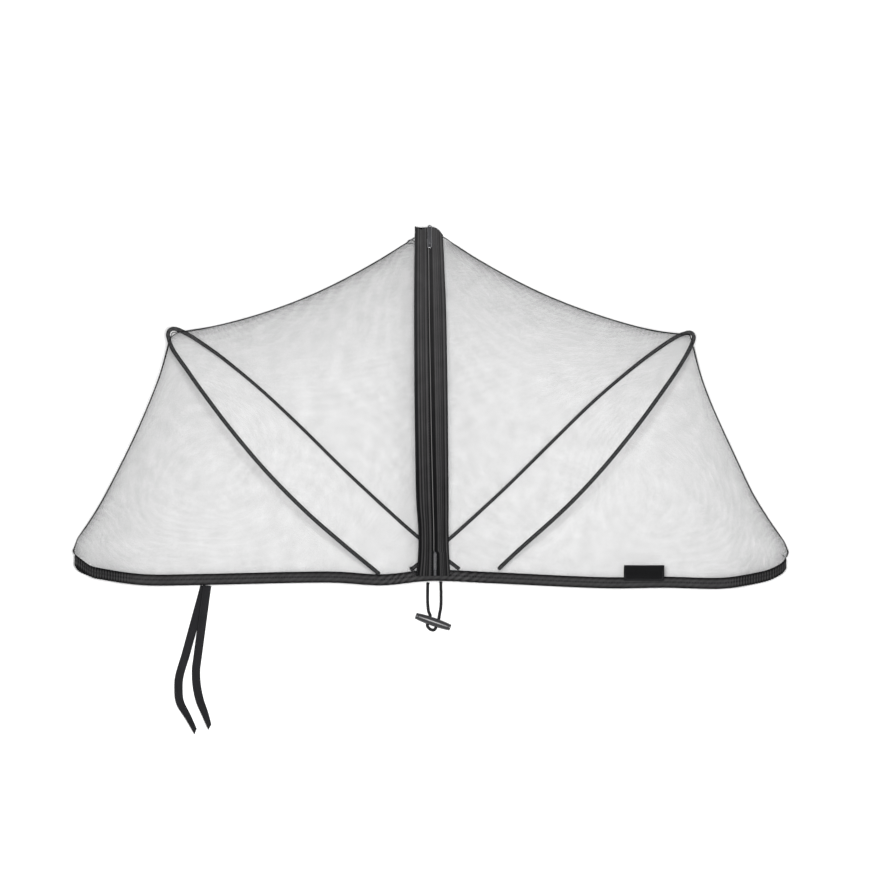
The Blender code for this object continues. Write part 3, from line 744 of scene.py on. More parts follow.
class NET_OT_stage(bpy.types.Operator):
    """Floor, soft lights and the camera, straight above the net"""
    bl_idname = "net.stage"
    bl_label = "Stage"

    def execute(self, context):
        look = context.scene.net_look
        middle = (CAD_BOX[0] + CAD_BOX[1]) / 2
        bpy.ops.object.select_all(action="DESELECT")
        bpy.ops.mesh.primitive_plane_add(size=FLOOR_SIZE, location=(middle.x, middle.y, -0.0001))
        floor = context.object
        floor.name = "floor"
        floor.data.materials.append(shared_material(
            "pale_floor", moulded_material, look.floor_colour, 0.75, 0.85, grain=0.0))
        world = bpy.data.worlds.new("studio")
        world.use_nodes = True
        background = world.node_tree.nodes["Background"]
        background.inputs["Color"].default_value = (1.0, 1.0, 1.0, 1.0)
        background.inputs["Strength"].default_value = 0.6
        context.scene.world = world
        area_light("key_light", (0.0, 0.03, 3.4), (0, 0, 0), 0.5, 105)
        area_light("fill_light", (0.6, -0.4, 3.0), (0, 0, 0), 1.0, 25)
        lens = bpy.data.cameras.new("camera")
        lens.sensor_width = SENSOR_WIDTH
        lens.lens = SENSOR_WIDTH * (CAMERA_HEIGHT - FOCUS_HEIGHT) / VIEW_WIDTH
        lens.clip_start, lens.clip_end = 0.1, 100.0
        camera = object_from("camera", lens)
        camera.location = (middle.x + VIEW_SHIFT.x, middle.y + VIEW_SHIFT.y, CAMERA_HEIGHT)
        context.scene.camera = camera
        context.scene.view_settings.view_transform = "Standard"
        return {"FINISHED"}


# ---------------------------------------------------------------- toggle and cord

def toggle_place():
    """Matrix from the toggle's own axes, with X along the barrel, to where it lies."""
    return Matrix.Translation(TOGGLE_CENTRE) @ Matrix.Rotation(TOGGLE_TILT, 4, "Z")


def barrel_radius(along):
    """The barrel's radius from -1 to 1 along it: bulged, with a rim at each end."""
    bulge = TOGGLE_MID_RADIUS + (TOGGLE_END_RADIUS - TOGGLE_MID_RADIUS) * along ** 2
    groove = np.exp(-((abs(along) - 0.885) / 0.018) ** 2)
    return bulge - 0.00028 * groove


def cut_through(piece, cutter):
    cut = piece.modifiers.new("cut", "BOOLEAN")
    cut.operation, cut.solver, cut.object = "DIFFERENCE", "EXACT", cutter
    apply_modifiers(piece)
    bpy.data.objects.remove(cutter)


def toggle_barrel(look):
    """The barrel: bulged, dished at both ends, with two holes through it for the cord."""
    bpy.ops.object.select_all(action="DESELECT")
    bpy.ops.mesh.primitive_cylinder_add(
        vertices=64, radius=TOGGLE_END_RADIUS, depth=TOGGLE_LENGTH, rotation=(0, pi / 2, 0))
    barrel = bpy.context.object
    barrel.name = "barrel_toggle"
    bpy.ops.object.transform_apply(location=True, rotation=True, scale=True)
    bm = bmesh.new()
    bm.from_mesh(barrel.data)
    long_edges = [edge for edge in bm.edges if edge.calc_length() > TOGGLE_LENGTH / 2]
    bmesh.ops.subdivide_edges(bm, edges=long_edges, cuts=70, use_grid_fill=True)
    for vertex in bm.verts:
        radius = barrel_radius(2 * vertex.co.x / TOGGLE_LENGTH)
        scale = radius / Vector((0, vertex.co.y, vertex.co.z)).length
        vertex.co.y *= scale
        vertex.co.z *= scale
    ends = [face for face in bm.faces if abs(face.normal.x) > 0.9 and len(face.verts) > 8]
    bmesh.ops.inset_individual(bm, faces=ends, thickness=TOGGLE_RIM)
    dished = [face for face in bm.faces if abs(face.normal.x) > 0.9 and len(face.verts) > 8]
    for face in dished:
        middle = face.calc_center_median().x
        for vertex in face.verts:
            vertex.co.x -= 0.0007 * np.sign(middle)
            vertex.co.y *= 0.92
            vertex.co.z *= 0.92
    bm.to_mesh(barrel.data)
    bm.free()
    for offset in (-TOGGLE_HOLE_OFFSET, TOGGLE_HOLE_OFFSET):
        bpy.ops.object.select_all(action="DESELECT")
        bpy.ops.mesh.primitive_cylinder_add(
            vertices=32, radius=TOGGLE_HOLE_RADIUS, depth=0.03,
            location=(offset, 0, 0), rotation=(pi / 2, 0, 0))
        cut_through(barrel, bpy.context.object)
    bevel = barrel.modifiers.new("soft_edges", "BEVEL")
    bevel.width, bevel.segments, bevel.limit_method, bevel.angle_limit = 0.0002, 2, "ANGLE", radians(45)
    apply_modifiers(barrel)
    barrel.data.transform(toggle_place())
    soften(barrel, 35)
    material = shared_material("moulded_toggle", moulded_material, look.plastic_colour, 0.26, 0.40)
    return finish_piece(barrel, material, ["toggle_barrel"])


class NET_OT_toggle(bpy.types.Operator):
    """The braided cord that leaves the hem, and the barrel toggle on it"""
    bl_idname = "net.toggle"
    bl_label = "Toggle and Cord"

    def execute(self, context):
        look = context.scene.net_look
        barrel = toggle_barrel(look)
        path = smooth_path(tube_line("toggle_cord")[0], 520)
        sides = 24
        turn = np.linspace(0, tau, sides, endpoint=False)[None]
        run = lengths_along(path)[:, None]
        strands = np.maximum(abs(np.sin(4 * turn + run * 1500)), abs(np.sin(4 * turn - run * 1500)))
        radius = CORD_RADIUS * (0.90 + 0.10 * strands)
        # Painted light and shade: lighter on the braid's raised strands, darker between them.
        cord = rod("elastic_cord", path, radius, sides, painted_shading=strands - 0.35)
        finish_piece(cord, cloth(look, "braided_cord", look.cord_light), ["toggle_cord"])
        return {"FINISHED"}


# ---------------------------------------------------------------- net panels

def boundary_order(mesh):
    """The open edge of a sheet as point numbers in order."""
    bm = bmesh.new()
    bm.from_mesh(mesh)
    bm.verts.ensure_lookup_table()
    start = next(v for v in bm.verts if v.is_boundary)
    order, at, last = [], start, None
    for _ in range(len(bm.verts)):
        order.append(at.index)
        step = [e.other_vert(at) for e in at.link_edges if e.is_boundary]
        at, last = next(v for v in step if v != last), at
        if at == start:
            break
    else:
        raise RuntimeError("the sheet's edge does not close")
    bm.free()
    return np.array(order)


def longest_run(order, wanted):
    """The longest stretch of a closed order whose points are all wanted."""
    flags = wanted[order]
    first = int(np.argmin(flags))
    order, flags = np.roll(order, -first), np.roll(flags, -first)
    best, run = [], []
    for index, flag in zip(order, flags):
        run = run + [index] if flag else []
        best = run if len(run) > len(best) else best
    return np.array(best)


def read_points(mesh):
    points = np.empty(len(mesh.vertices) * 3)
    mesh.vertices.foreach_get("co", points)
    return points.reshape(-1, 3)


def read_normals(mesh):
    normals = np.empty(len(mesh.vertices) * 3)
    mesh.vertices.foreach_get("normal", normals)
    return normals.reshape(-1, 3)


def nearest(points, path):
    """Number of the nearest point of a path, and how far it is, for each point."""
    tree = nearest_to(path)
    found = [tree.find(point) for point in points]
    return np.array([item[1] for item in found]), np.array([item[2] for item in found])


def draw_edge_to(points, edge, path, reach, blend):
    """Move an open edge onto a path that is near it, and the cloth beside it part of the way."""
    index, distance = nearest(points[edge], path)
    edge = edge[distance < reach]
    step = path[index[distance < reach]] - points[edge]
    owner, away = nearest(points, points[edge])
    return points + step[owner] * smooth_step(1 - away / blend)[:, None], edge


def clear_of_rods(points, rods, upward):
    """Lift cloth off the hoops that it lies over."""
    for path, radius in rods:
        index, distance = nearest(points, path)
        need = radius[index] + HOOP_CLEARANCE
        close = distance < need
        away = unit(points[close] - path[index[close]] + np.array([0, 0, 0.5 * upward * need.mean()]))
        points[close] = path[index[close]] + away * need[close, None]
    return points


def unwrap_in_metres(piece):
    """Unwrap a sheet so that its UVs are true lengths."""
    choose(piece)
    bpy.ops.object.mode_set(mode="EDIT")
    bpy.ops.mesh.select_all(action="SELECT")
    bpy.ops.uv.unwrap(method="ANGLE_BASED", margin=0.0)
    bpy.ops.object.mode_set(mode="OBJECT")
    layer = piece.data.uv_layers.active.data
    uvs = np.empty(len(layer) * 2)
    layer.foreach_get("uv", uvs)
    uvs = uvs.reshape(-1, 2)
    flat = 0.0
    for face in piece.data.polygons:
        x, y = uvs[face.loop_start:face.loop_start + face.loop_total].T
        flat += abs(np.dot(x, np.roll(y, -1)) - np.dot(y, np.roll(x, -1))) / 2
    area = sum(face.area for face in piece.data.polygons)
    layer.foreach_set("uv", (uvs * np.sqrt(area / flat)).ravel())


def panel_sheet(name, node, upward):
    """A net panel's middle surface, made smooth from the frame's sheet."""
    bm = skin(node, upward)
    if not upward:
        low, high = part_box(node)
        for axis, plane in ((0, Vector((1, 0, 0))), (1, Vector((0, 1, 0)))):
            for place in np.arange(low[axis] + BACK_CELL, high[axis] - BACK_CELL / 2, BACK_CELL):
                geometry = [*bm.verts, *bm.edges, *bm.faces]
                bmesh.ops.bisect_plane(bm, geom=geometry, plane_co=plane * place, plane_no=plane)
        inside = [vertex for vertex in bm.verts if not vertex.is_boundary]
        for _ in range(10):
            bmesh.ops.smooth_vert(bm, verts=inside, factor=0.5, use_axis_z=True)
    mesh = bpy.data.meshes.new(name)
    bm.to_mesh(mesh)
    bm.free()
    piece = object_from(name, mesh)
    unwrap_in_metres(piece)
    smooth = piece.modifiers.new("smooth", "SUBSURF")
    smooth.levels = smooth.render_levels = PANEL_LEVELS if upward else 1
    smooth.boundary_smooth = "PRESERVE_CORNERS"
    apply_modifiers(piece)
    return piece


def net_panel(look, name, node, upward, rods, hem_edge, band_edge):
    """A sheer panel drawn to the hem and the zip band, with its seam bead along the outline."""
    piece = panel_sheet(name, node, upward)
    mesh = piece.data
    order = boundary_order(mesh)
    points = read_points(mesh)
    points = clear_of_rods(points, rods, 1 if upward else -1)
    points, hem = draw_edge_to(points, order, hem_edge, HEM_REACH, HEM_BLEND)
    free = np.zeros(len(points), bool)
    free[order] = True
    free[hem] = False
    if band_edge is not None:
        zip_side = order[abs(points[order, 0]) < ZIP_HALF]
        points, _ = draw_edge_to(points, zip_side, band_edge, HEM_REACH, HEM_BLEND)
        free[zip_side] = False
    seam = longest_run(order, free)
    _, hem_distance = nearest(points, points[hem])
    corner = smooth_step((abs(points[:, 0]) - 0.29) / 0.07)
    pucker = (0.2 + 0.8 * corner) * np.exp(-hem_distance / 0.011) * smooth_step(hem_distance / 0.004)
    wave = np.sin(tau * points[:, 0] / 0.0068 + 1.5 * wobble(points[:, 0], 3, 0.05))
    points += read_normals(mesh) * (pucker * wave * 0.0007)[:, None]
    if not upward:
        points[:, 2] = np.maximum(points[:, 2], 0.0)
    mesh.vertices.foreach_set("co", points.ravel())
    mesh.update()
    _, seam_distance = nearest(points, points[seam])
    closer = 0.045 * np.exp(-seam_distance / 0.048) + 0.12 * np.exp(-seam_distance / 0.005)
    closer += 0.03 * corner * np.exp(-hem_distance / 0.006)
    set_attribute(mesh, "gather", closer)
    bead = rod(name + "_seam", smooth_path(points[seam], 420), SEAM_RADIUS, 8)
    wall = piece.modifiers.new("wall", "SOLIDIFY")
    wall.thickness, wall.offset = NET_THICK, -1.0
    apply_modifiers(piece)
    soften(piece, 60)
    finish_piece(piece, bpy.data.materials.get("sheer_net") or net_material(look), [node])
    finish_piece(bead, cloth(look, "seam_cloth", look.trim_lit_colour))
    return piece, bead


class NET_OT_panels(bpy.types.Operator):
    """Two front net panels and the back one, with the seams round them"""
    bl_idname = "net.panels"
    bl_label = "Net Panels"

    def execute(self, context):
        look = context.scene.net_look
        hem_edge = smooth_path(binding_line(), 1600, closed=True)
        hem_edge[:, 1] += BINDING_WIDTH / 2 - HEM_TUCK
        rods = {}
        for side in ("left", "right"):
            path, radius = tube_line("hoop_" + side)
            fine = smooth_path(np.column_stack([path, radius]), 700)
            rods[side] = (fine[:, :3], fine[:, 3])
        for side, inward in (("left", 1), ("right", -1)):
            rows = tape_rows("zip_tape_" + side)[0]
            edge = rows[:, [1 if side == "left" else 2, 0, 3]]
            edge = smooth_path(edge + np.array([0.0006 * inward, 0, -TAPE_THICK / 2]), 300)
            panel, bead = net_panel(look, "net_panel_" + side, "net_front_" + side, True,
                                    [rods[side]], hem_edge, edge)
        panel, bead = net_panel(look, "net_panel_back", "net_back", False, [], hem_edge, None)
        return {"FINISHED"}


# ---------------------------------------------------------------- binding

class NET_OT_binding(bpy.types.Operator):
    """The elastic binding round the mouth, gathered at its corners, and its row of stitches"""
    bl_idname = "net.binding"
    bl_label = "Hem Binding"

    def execute(self, context):
        look = context.scene.net_look
        path = smooth_path(binding_line(), 1700, closed=True)
        side = unit(np.cross(tangents(path, True), (0, 1, 0)))
        side *= np.sign((side * (path - path.mean(axis=0))).sum(axis=1).mean())
        run = lengths_along(path, True)
        place = np.concatenate([np.linspace(-1, 1, 12), np.linspace(1, -1, 12)])[None]
        face = np.repeat([1, -1], 12)[None]
        across = place * (BINDING_WIDTH / 2 + 0.0002) + 0.0003
        groove = np.exp(-((across - 0.0007) / 0.0008) ** 2)
        body = np.sqrt(np.clip(1 - np.abs(place * 0.97) ** 7, 0, 1)) * (1 - 0.40 * groove)
        x, s = path[:, :1], run[:-1, None]
        corner = smooth_step((np.abs(x) - 0.325) / 0.025)
        ridge = np.sin(tau * s / 0.0031 + 1.2 * wobble(s, 5, 0.03) + 0.25 * place)
        slack = 0.25 + 0.75 * np.exp(-((np.abs(x) - 0.036) / 0.026) ** 2)
        fold = np.sin(tau * (s / 0.0085 + across / 0.007) + 2 * wobble(s, 8, 0.05)) * (1 - corner) * slack
        bulk = BINDING_THICK / 2 * (0.92 + 0.10 * corner * ridge + 0.06 * fold)
        thick = face * bulk * body + corner * look.gather_height * ridge * 0.6 + 0.00012 * fold
        across = across + corner * 0.00035 * ridge * place + 0.0001 * fold * place
        rings = path[:, None] + side[:, None] * thick[..., None]
        rings[..., 1] += across
        rings[..., 2] = np.maximum(rings[..., 2], 0.00005)
        # Painted light and shade: lighter down the middle of each face, on the folds' crests and on the
        # gathers' ridges; darker at the rolled edges, in the stitching groove and between the gathers.
        painted_shading = 0.95 * body * (1 - 0.5 * groove) * (1 - place ** 2) - 0.20
        painted_shading = painted_shading + 0.30 * fold + 0.45 * corner * (ridge - 0.5)
        around = np.concatenate([place[0] * BINDING_WIDTH / 2, [place[0, 0] * BINDING_WIDTH / 2]])
        tape = loft("gathered_binding", rings, around, run, closed_path=True, painted_shading=painted_shading)
        finish_piece(tape, cloth(look, "binding_cloth", look.trim_lit_colour), ["hem_binding"])
        line = int(np.argmax(groove[0, :12]))
        front = path[:, 2] > FRONT_RUN_HEIGHT
        start = int(np.argmin(front))
        keep = np.roll(front, -start)
        seam = np.roll(rings[:, line], -start, axis=0)[keep]
        stitches = stitch_row("binding_stitches", seam, np.roll(side, -start, axis=0)[keep],
                              look.stitch_length)
        finish_piece(stitches, dark_thread(look))
        return {"FINISHED"}


# ---------------------------------------------------------------- hoops

class NET_OT_hoops(bpy.types.Operator):
    """Two sprung hoops in their cloth casings, with a stitched flange on the inner side"""
    bl_idname = "net.hoops"
    bl_label = "Hoops"

    def execute(self, context):
        look = context.scene.net_look
        for name, inward in (("left", -1), ("right", 1)):
            path, radius = tube_line("hoop_" + name)
            fine = smooth_path(np.column_stack([path, radius]), 620)
            path, radius = fine[:, :3], fine[:, 3:]
            sides = 24
            turn = np.linspace(0, tau, sides, endpoint=False)[None]
            run = lengths_along(path)[:, None]
            wrinkle = np.sin(tau * run / 0.0052 + turn + 1.5 * wobble(run, 11, 0.04))
            flange = np.exp(-((turn - (0 if inward > 0 else pi)) / 0.28) ** 2)
            flange = flange + np.exp(-((turn - tau) / 0.28) ** 2) * (inward > 0)
            shape = radius * (0.93 + 0.035 * wrinkle) + 0.0005 * flange
            # Painted light and shade: lighter on the wrinkles' crests, darker along the flange and on the
            # casing's flanks that face sideways.
            painted_shading = 0.75 + 0.25 * wrinkle - 1.1 * flange - 0.5 * np.abs(np.cos(turn)) ** 6
            casing = rod("hoop_casing_" + name, path, shape, sides, painted_shading=painted_shading)
            finish_piece(casing, cloth(look, "casing_cloth", look.casing_light), ["hoop_" + name])
        return {"FINISHED"}


# ---------------------------------------------------------------- zip

def rib_profile(part, ribs):
    """Height of a tape's ribs across it, from 0 to 1. ribs is centre, width and height of each."""
    return sum(height * np.exp(-((part - centre) / width) ** 2) for centre, width, height in ribs)


def zip_tape(look, side, ribs):
    """A ribbed tape. The right one has a flap over the coil, with a bright edge."""
    node = "zip_tape_" + side
    rows, end = tape_rows(node)
    nominal = rows[-1, 0] + np.diff(rows[-2:, 0])[0]
    last = [nominal, end[0, 0], end[-1, 0], end[:, 2].min()]
    rows = smooth_path(np.vstack([rows, last]), 520)
    y, left, right, height = (column[:, None] for column in rows.T)
    part = np.linspace(0, 1, 49)[None]
    flap = np.zeros_like(y)
    if side == "right":
        flap = smooth_step((y - FLAP_START) / 0.004)
        left = left - flap * FLAP_REACH
    x = left + (right - left) * part
    notch = np.interp(part[0], (end[:, 0] - end[0, 0]) / (end[-1, 0] - end[0, 0]), end[:, 1] - nominal)
    y = y + notch[None] * smooth_step((y - nominal + 0.012) / 0.012)
    rib = rib_profile(part, ribs)
    over = flap * smooth_step((left + 0.0060 - x) / 0.0030)
    fray = 0.00006 * np.sin(tau * y / 0.0021)
    top = height + (rib - 0.35) * 0.0008 * (1 - over) + over * 0.0013 + fray * (part < 0.02)
    bottom = np.minimum(height - TAPE_THICK * 0.9 + over * 0.0021, top - 0.0004)
    x = np.broadcast_to(x, top.shape)
    y = np.broadcast_to(y, top.shape)
    rings = np.concatenate([np.stack([x, y, top], 2), np.stack([x, y, bottom], 2)[:, ::-1]], axis=1)
    # Painted light and shade: lighter on the ribs and darker in the grooves between them, with a slow random
    # streak, and lighter towards the tape's top end.
    higher = smooth_step((y - y.min()) / (y.max() - y.min()))
    streak_and_lighter_top = 0.10 * wobble(y + 3 * part, 21, 0.09) + 0.45 * higher - 0.2
    painted_shading = np.concatenate([rib + streak_and_lighter_top, np.zeros_like(streak_and_lighter_top)], axis=1)
    width = float((right - left).mean())
    around = np.concatenate([part[0], part[0][::-1], [0]]) * width
    tape = loft("ribbed_" + node, rings, around, lengths_along(np.stack([y, x, top], 2)[:, 24]), painted_shading=painted_shading)
    finish_piece(tape, cloth(look, "tape_cloth", look.trim_lit_colour), [node])
    return tape, np.stack([x, y, top], 2)


def coil_half(name, path, offset, hand):
    """One side of the zip's coil: a flattened helix of thin wire."""
    run = lengths_along(path)
    turns = int(run[-1] / COIL_PITCH)
    count = turns * 9
    fine = smooth_path(path, count)
    angle = np.linspace(0, tau * turns, count)
    side, above = across_frames(fine)
    wire = fine + side * (offset + hand * COIL_HALF_WIDTH * np.cos(angle))[:, None] \
        + above * (COIL_HALF_HEIGHT * np.sin(angle))[:, None]
    return rod(name, wire, COIL_WIRE, 5)


def slider_body(look):
    """The slider: a tapered block with side channels and a bridge for the pull."""
    low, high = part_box("zip_slider")
    middle = (low + high) / 2
    slope = zip_slope(middle.y)
    bpy.ops.object.select_all(action="DESELECT")
    bpy.ops.mesh.primitive_cube_add(size=1.0)
    body = bpy.context.object
    body.name = "slider_body"
    body.data.transform(Matrix.Diagonal((*SLIDER_SIZE, 1.0)))
    bm = bmesh.new()
    bm.from_mesh(body.data)
    bmesh.ops.subdivide_edges(bm, edges=bm.edges, cuts=3, use_grid_fill=True)
    for vertex in bm.verts:
        lower = smooth_step(0.5 - vertex.co.y / SLIDER_SIZE[1])
        vertex.co.x *= 1 - 0.30 * lower
        channel = np.exp(-(vertex.co.z / 0.0004) ** 2) * (abs(vertex.co.x) > 0.0024)
        vertex.co.x -= 0.0006 * channel * np.sign(vertex.co.x)
        vertex.co.z -= 0.0004 * (vertex.co.z > 0) * (vertex.co.y / 0.0049) ** 2
    bm.to_mesh(body.data)
    bm.free()
    bevel = body.modifiers.new("rounding", "BEVEL")
    bevel.width, bevel.segments, bevel.limit_method, bevel.angle_limit = 0.0005, 3, "ANGLE", radians(50)
    apply_modifiers(body)
    place = Matrix.Translation(middle) @ Matrix.Rotation(slope, 4, "X")
    body.data.transform(place)
    arch = np.array([[0, -0.0030, 0.0008], [0, -0.0028, 0.0021], [0, -0.0010, 0.0027], [0, 0.0012, 0.0026],
                     [0, 0.0030, 0.0017], [0, 0.0034, 0.0006]])
    arch = np.array([place @ Vector(point) for point in arch])
    bridge = rod("bridge", smooth_path(arch, 24), 0.00055, 12)
    soften(body, 35)
    whole = join_all("slider", [body, bridge])
    material = shared_material(
        "painted_slider", moulded_material, look.metal_colour, 0.25, 0.45, metallic=0.6)
    return finish_piece(whole, material, ["zip_slider"])


def zip_slope(y):
    rows = tape_rows("zip_tape_left")[0]
    return float(np.arctan(np.gradient(rows[:, 3], rows[:, 0])[-1])) if y > rows[-1, 0] else float(
        np.arctan(np.interp(y, rows[:, 0], np.gradient(rows[:, 3], rows[:, 0]))))


def zip_pull(look):
    """The pull: a dark tab inside a rim of lighter metal, a painted highlight along its edges."""
    low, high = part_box("zip_pull")
    middle = (low + high) / 2
    place = Matrix.Translation(middle) @ Matrix.Rotation(zip_slope(middle.y), 4, "X")
    half_width, half_length, bend = PULL_HALF_WIDTH, PULL_HALF_LENGTH, PULL_BEND
    outline = []
    for corner_x, corner_y, start in ((1, 1, 0), (-1, 1, 1), (-1, -1, 2), (1, -1, 3)):
        for angle in np.linspace(start * pi / 2, (start + 1) * pi / 2, 7):
            outline.append([corner_x * (half_width - bend) + bend * cos(angle),
                            corner_y * (half_length - bend) + bend * sin(angle), 0])
    outline = np.array(outline)
    rim_path = np.array([place @ Vector(point) for point in outline])
    rim = rod("zip_pull_rim", smooth_path(rim_path, 160, closed=True), 0.00030, 10, closed=True)
    # Painted highlight along the pull's edges.
    bright = shared_material("pull_rim_highlight", moulded_material, look.pull_highlight_colour, 0.22, 0.35, metallic=0.9)
    finish_piece(rim, bright)
    bpy.ops.object.select_all(action="DESELECT")
    bpy.ops.mesh.primitive_cube_add(size=1.0)
    tab = bpy.context.object
    tab.name = "zip_pull_tab"
    tab.data.transform(Matrix.Diagonal((2 * half_width, 2 * half_length - 0.0005, 0.0006, 1.0)))
    bpy.ops.object.select_all(action="DESELECT")
    bpy.ops.mesh.primitive_cylinder_add(vertices=32, radius=0.0011, depth=0.01, location=(0, -0.0098, 0))
    cut_through(tab, bpy.context.object)
    bevel = tab.modifiers.new("soft_edges", "BEVEL")
    bevel.width, bevel.segments, bevel.limit_method, bevel.angle_limit = 0.00012, 2, "ANGLE", radians(45)
    apply_modifiers(tab)
    tab.data.transform(place)
    soften(tab, 35)
    enamel = shared_material("painted_slider", moulded_material, look.metal_colour, 0.25, 0.45, metallic=0.6)
    return finish_piece(tab, enamel, ["zip_pull"])


class NET_OT_zip(bpy.types.Operator):
    """The zip band: ribbed tapes, flap edge, coil, slider and pull, and its stitching"""
    bl_idname = "net.zip"
    bl_label = "Zip Band"

    def execute(self, context):
        look = context.scene.net_look
        left, left_top = zip_tape(look, "left", LEFT_RIBS)
        right, right_top = zip_tape(look, "right", RIGHT_RIBS)
        coil_path = tube_line("zip_coil")[0]
        coil = join_all("zip_coil_wire", [coil_half("coil_left", coil_path, -COIL_OFFSET, 1),
                                          coil_half("coil_right", coil_path, COIL_OFFSET, -1)])
        wire = shared_material("coil_plastic", moulded_material, (0.075, 0.075, 0.08), 0.35, 0.5)
        finish_piece(coil, wire, ["zip_coil"])
        lip = right_top[:, 0] + np.array([-0.0001, 0, -0.0002])
        lip = smooth_path(lip[lip[:, 1] > FLAP_START + 0.003], 420)
        edge = rod("flap_edge", lip, FLAP_EDGE_RADIUS, 8)
        piping = shared_material("flap_piping", thread_material, look.piping_colour)
        finish_piece(edge, piping)
        rows = []
        for top, columns in ((left_top, (3, 41)), (right_top, (20, 45))):
            for column in columns:
                line = top[:, column] + np.array([0, 0, 0.0001])
                rows.append(stitch_row("row", line, np.tile([0.0, 0, 1], (len(line), 1)), look.stitch_length))
        finish_piece(join_all("zip_band_stitches", rows), dark_thread(look))
        finish_piece(self.thread_end(left_top), dark_thread(look))
        slider_body(look)
        zip_pull(look)
        return {"FINISHED"}

    @staticmethod
    def thread_end(top):
        """A loose loop of sewing thread at the top of the left tape."""
        corner = top[-12, 0]
        loop = np.array([[0.0008, -0.0035, 0], [-0.0030, -0.0010, 0.0006], [-0.0066, -0.0012, 0.0003],
                         [-0.0080, -0.0034, -0.0002], [-0.0064, -0.0050, -0.0002], [-0.0030, -0.0046, 0.0001],
                         [0.0006, -0.0056, 0]])
        return rod("thread_end", smooth_path(corner + loop, 60), 0.00038, 8)


# ---------------------------------------------------------------- ties

def ribbon(look, side, rows):
    """A flat woven ribbon along its route, turned about its own length, with a cut end."""
    route = smooth_path(rows, 260)
    ahead = unit(np.column_stack([np.gradient(route[:, :2], axis=0), np.zeros(len(route))]))
    across = np.column_stack([ahead[:, 1], -ahead[:, 0], np.zeros(len(route))])
    tilt = np.radians(route[:, 2])[:, None]
    reach = RIBBON_WIDTH / 2
    rise = np.maximum(route[:, 3], 0) + np.abs(np.sin(tilt[:, 0])) * (reach + RIBBON_THICK / 4)
    centre = np.column_stack([route[:, :2], RIBBON_THICK / 2 + rise])
    wide = across * np.cos(tilt) + np.array([0, 0, 1.0]) * np.sin(tilt)
    deep = np.cross(wide, ahead) * np.array([1.0, 1, 1])
    deep *= np.sign(deep[:, 2:] + 1e-9)
    place = np.concatenate([np.linspace(-1, 1, 13), np.linspace(1, -1, 13)])[None]
    face = np.repeat([1, -1], 13)[None]
    edge = np.exp(-((np.abs(place) - 0.86) / 0.10) ** 2)
    body = np.sqrt(np.clip(1 - np.abs(place * 0.98) ** 10, 0, 1)) * (0.72 + 0.28 * edge)
    run = lengths_along(centre)
    flutter = 0.00025 * (1 + wobble(run, 31, 0.05))[:, None] * place ** 2
    thick = face * RIBBON_THICK / 2 * body + flutter
    rings = centre[:, None] + wide[:, None] * (place * reach)[..., None] + deep[:, None] * thick[..., None]
    cut = smooth_step((run - run[-1] + 0.012) / 0.012)[:, None] * place * 0.0022
    rings += ahead[:, None] * cut[..., None]
    rings[..., 2] = np.maximum(rings[..., 2], 0.00002)
    # Painted light and shade: lighter along the raised selvedges, darker on the very edges that face
    # sideways, with a random streak along the ribbon.
    streak = 0.15 * wobble(run[:, None] + 0.02 * place, 33, 0.03)
    painted_shading = 0.55 + 0.35 * edge - 0.9 * np.exp(-((np.abs(place) - 1.0) / 0.08) ** 2) + streak
    around = np.concatenate([place[0], [place[0, 0]]]) * reach
    tape = loft("tie_ribbon_" + side, rings, around, run, painted_shading=painted_shading)
    finish_piece(tape, cloth(look, "ribbon_cloth", look.ribbon_light, warp=0.0005, weft=0.0008),
                  ["tie_" + side])
    return tape


class NET_OT_ties(bpy.types.Operator):
    """Two woven tie ribbons that hang from the hem, with free ends"""
    bl_idname = "net.ties"
    bl_label = "Tie Ribbons"

    def execute(self, context):
        look = context.scene.net_look
        ribbon(look, "left", TIE_LEFT)
        ribbon(look, "right", TIE_RIGHT)
        return {"FINISHED"}


# ---------------------------------------------------------------- tab

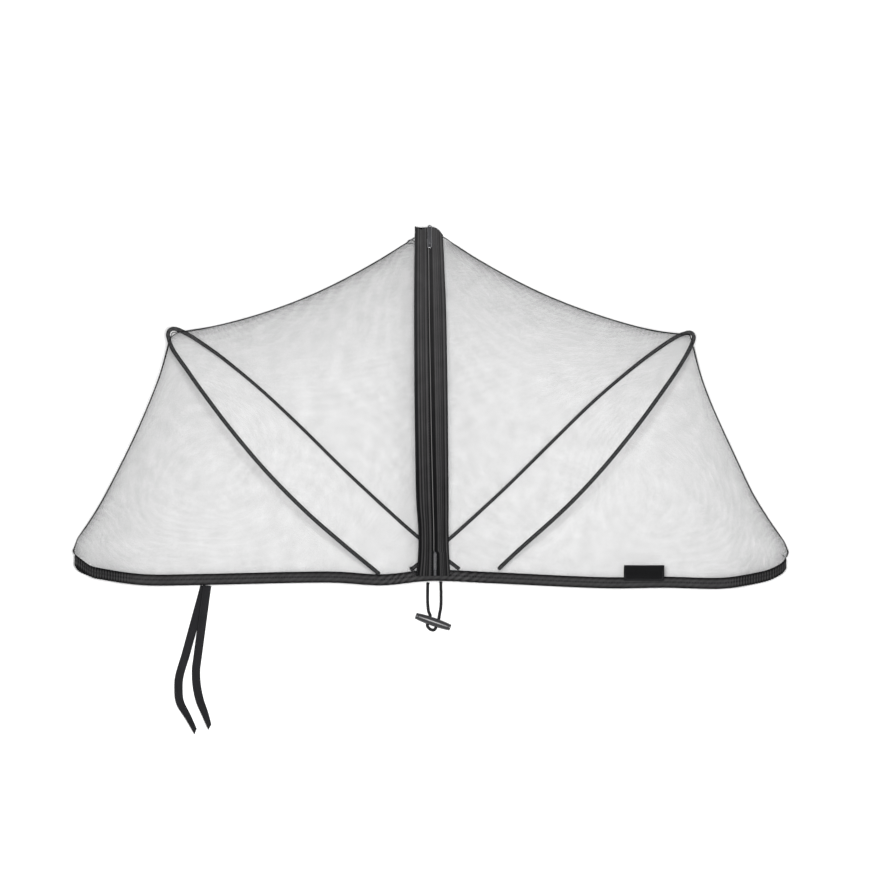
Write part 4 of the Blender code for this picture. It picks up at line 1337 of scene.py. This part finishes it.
class NET_OT_tab(bpy.types.Operator):
    """The small bare cloth tab on the hem, sewn down round its edge"""
    bl_idname = "net.tab"
    bl_label = "Cloth Tab"

    def execute(self, context):
        look = context.scene.net_look
        bm = skin("label_tab", True)
        mesh = bpy.data.meshes.new("bare_tab")
        bm.to_mesh(mesh)
        bm.free()
        tab = object_from("bare_tab", mesh)
        smooth = tab.modifiers.new("smooth", "SUBSURF")
        smooth.levels = smooth.render_levels = 3
        smooth.boundary_smooth = "PRESERVE_CORNERS"
        apply_modifiers(tab)
        points = read_points(mesh)
        low, high = points.min(axis=0), points.max(axis=0)
        inset = np.minimum(points[:, :2] - low[:2], high[:2] - points[:, :2]).min(axis=1)
        points[:, 2] += 0.00025 * np.exp(-((inset - 0.0006) / 0.0007) ** 2) - 0.00018 * np.exp(
            -((inset - 0.0018) / 0.0004) ** 2)
        mesh.vertices.foreach_set("co", points.ravel())
        layer = mesh.uv_layers.new(name="UVMap")
        corners = np.empty(len(mesh.loops), int)
        mesh.loops.foreach_get("vertex_index", corners)
        layer.data.foreach_set("uv", (points[corners, :2] - low[:2]).astype(np.float32).ravel())
        # Painted light: lighter along the raised border where the edge is sewn down.
        set_attribute(mesh, "painted_shading", 0.35 + 0.5 * np.exp(-((inset - 0.0006) / 0.0007) ** 2))
        tree = nearest_to(points)
        border = []
        for start, stop in (((0, 0), (1, 0)), ((1, 0), (1, 1)), ((1, 1), (0, 1)), ((0, 1), (0, 0))):
            for part in np.linspace(0, 1, 24, endpoint=False):
                spot = np.array(start) * (1 - part) + np.array(stop) * part
                spot = low[:2] + 0.0018 + spot * (high[:2] - low[:2] - 0.0036)
                on = tree.find((*spot, points[:, 2].mean()))[0]
                border.append([*spot, on[2] + 0.0001])
        border = smooth_path(border, 240, closed=True)
        stitches = stitch_row("tab_stitches", border, np.tile([0.0, 0, 1], (len(border), 1)),
                              look.stitch_length * 0.8, 0.0024)
        wall = tab.modifiers.new("wall", "SOLIDIFY")
        wall.thickness, wall.offset = 0.0007, -1.0
        apply_modifiers(tab)
        soften(tab, 60)
        finish_piece(tab, cloth(look, "tab_cloth", look.tab_colour, warp=0.0003, weft=0.0003),
                      ["label_tab"])
        finish_piece(stitches, dark_thread(look))
        return {"FINISHED"}


# ---------------------------------------------------------------- panel and running

class NET_PT_maker(bpy.types.Panel):
    """Operators and settings of the stroller net"""
    bl_label = "Stroller Net"
    bl_idname = "NET_PT_maker"
    bl_space_type = "VIEW_3D"
    bl_region_type = "UI"
    bl_category = "Net"

    def draw(self, context):
        for operator in OPERATORS:
            self.layout.operator(operator.bl_idname)
        for setting in NetLook.__annotations__:
            self.layout.prop(context.scene.net_look, setting)


OPERATORS = (NET_OT_stage, NET_OT_toggle, NET_OT_hoops, NET_OT_panels, NET_OT_binding, NET_OT_zip,
             NET_OT_ties, NET_OT_tab)
CLASSES = (NetLook, *OPERATORS, NET_PT_maker)


def register():
    for item in CLASSES:
        bpy.utils.register_class(item)
    bpy.types.Scene.net_look = bpy.props.PointerProperty(type=NetLook)


def unregister():
    del bpy.types.Scene.net_look
    for item in reversed(CLASSES):
        bpy.utils.unregister_class(item)


def main():
    """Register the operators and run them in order."""
    register()
    bpy.ops.net.stage()
    bpy.ops.net.toggle()
    bpy.ops.net.hoops()
    bpy.ops.net.panels()
    bpy.ops.net.binding()
    bpy.ops.net.zip()
    bpy.ops.net.ties()
    bpy.ops.net.tab()


if __name__ == "__main__":
    main()
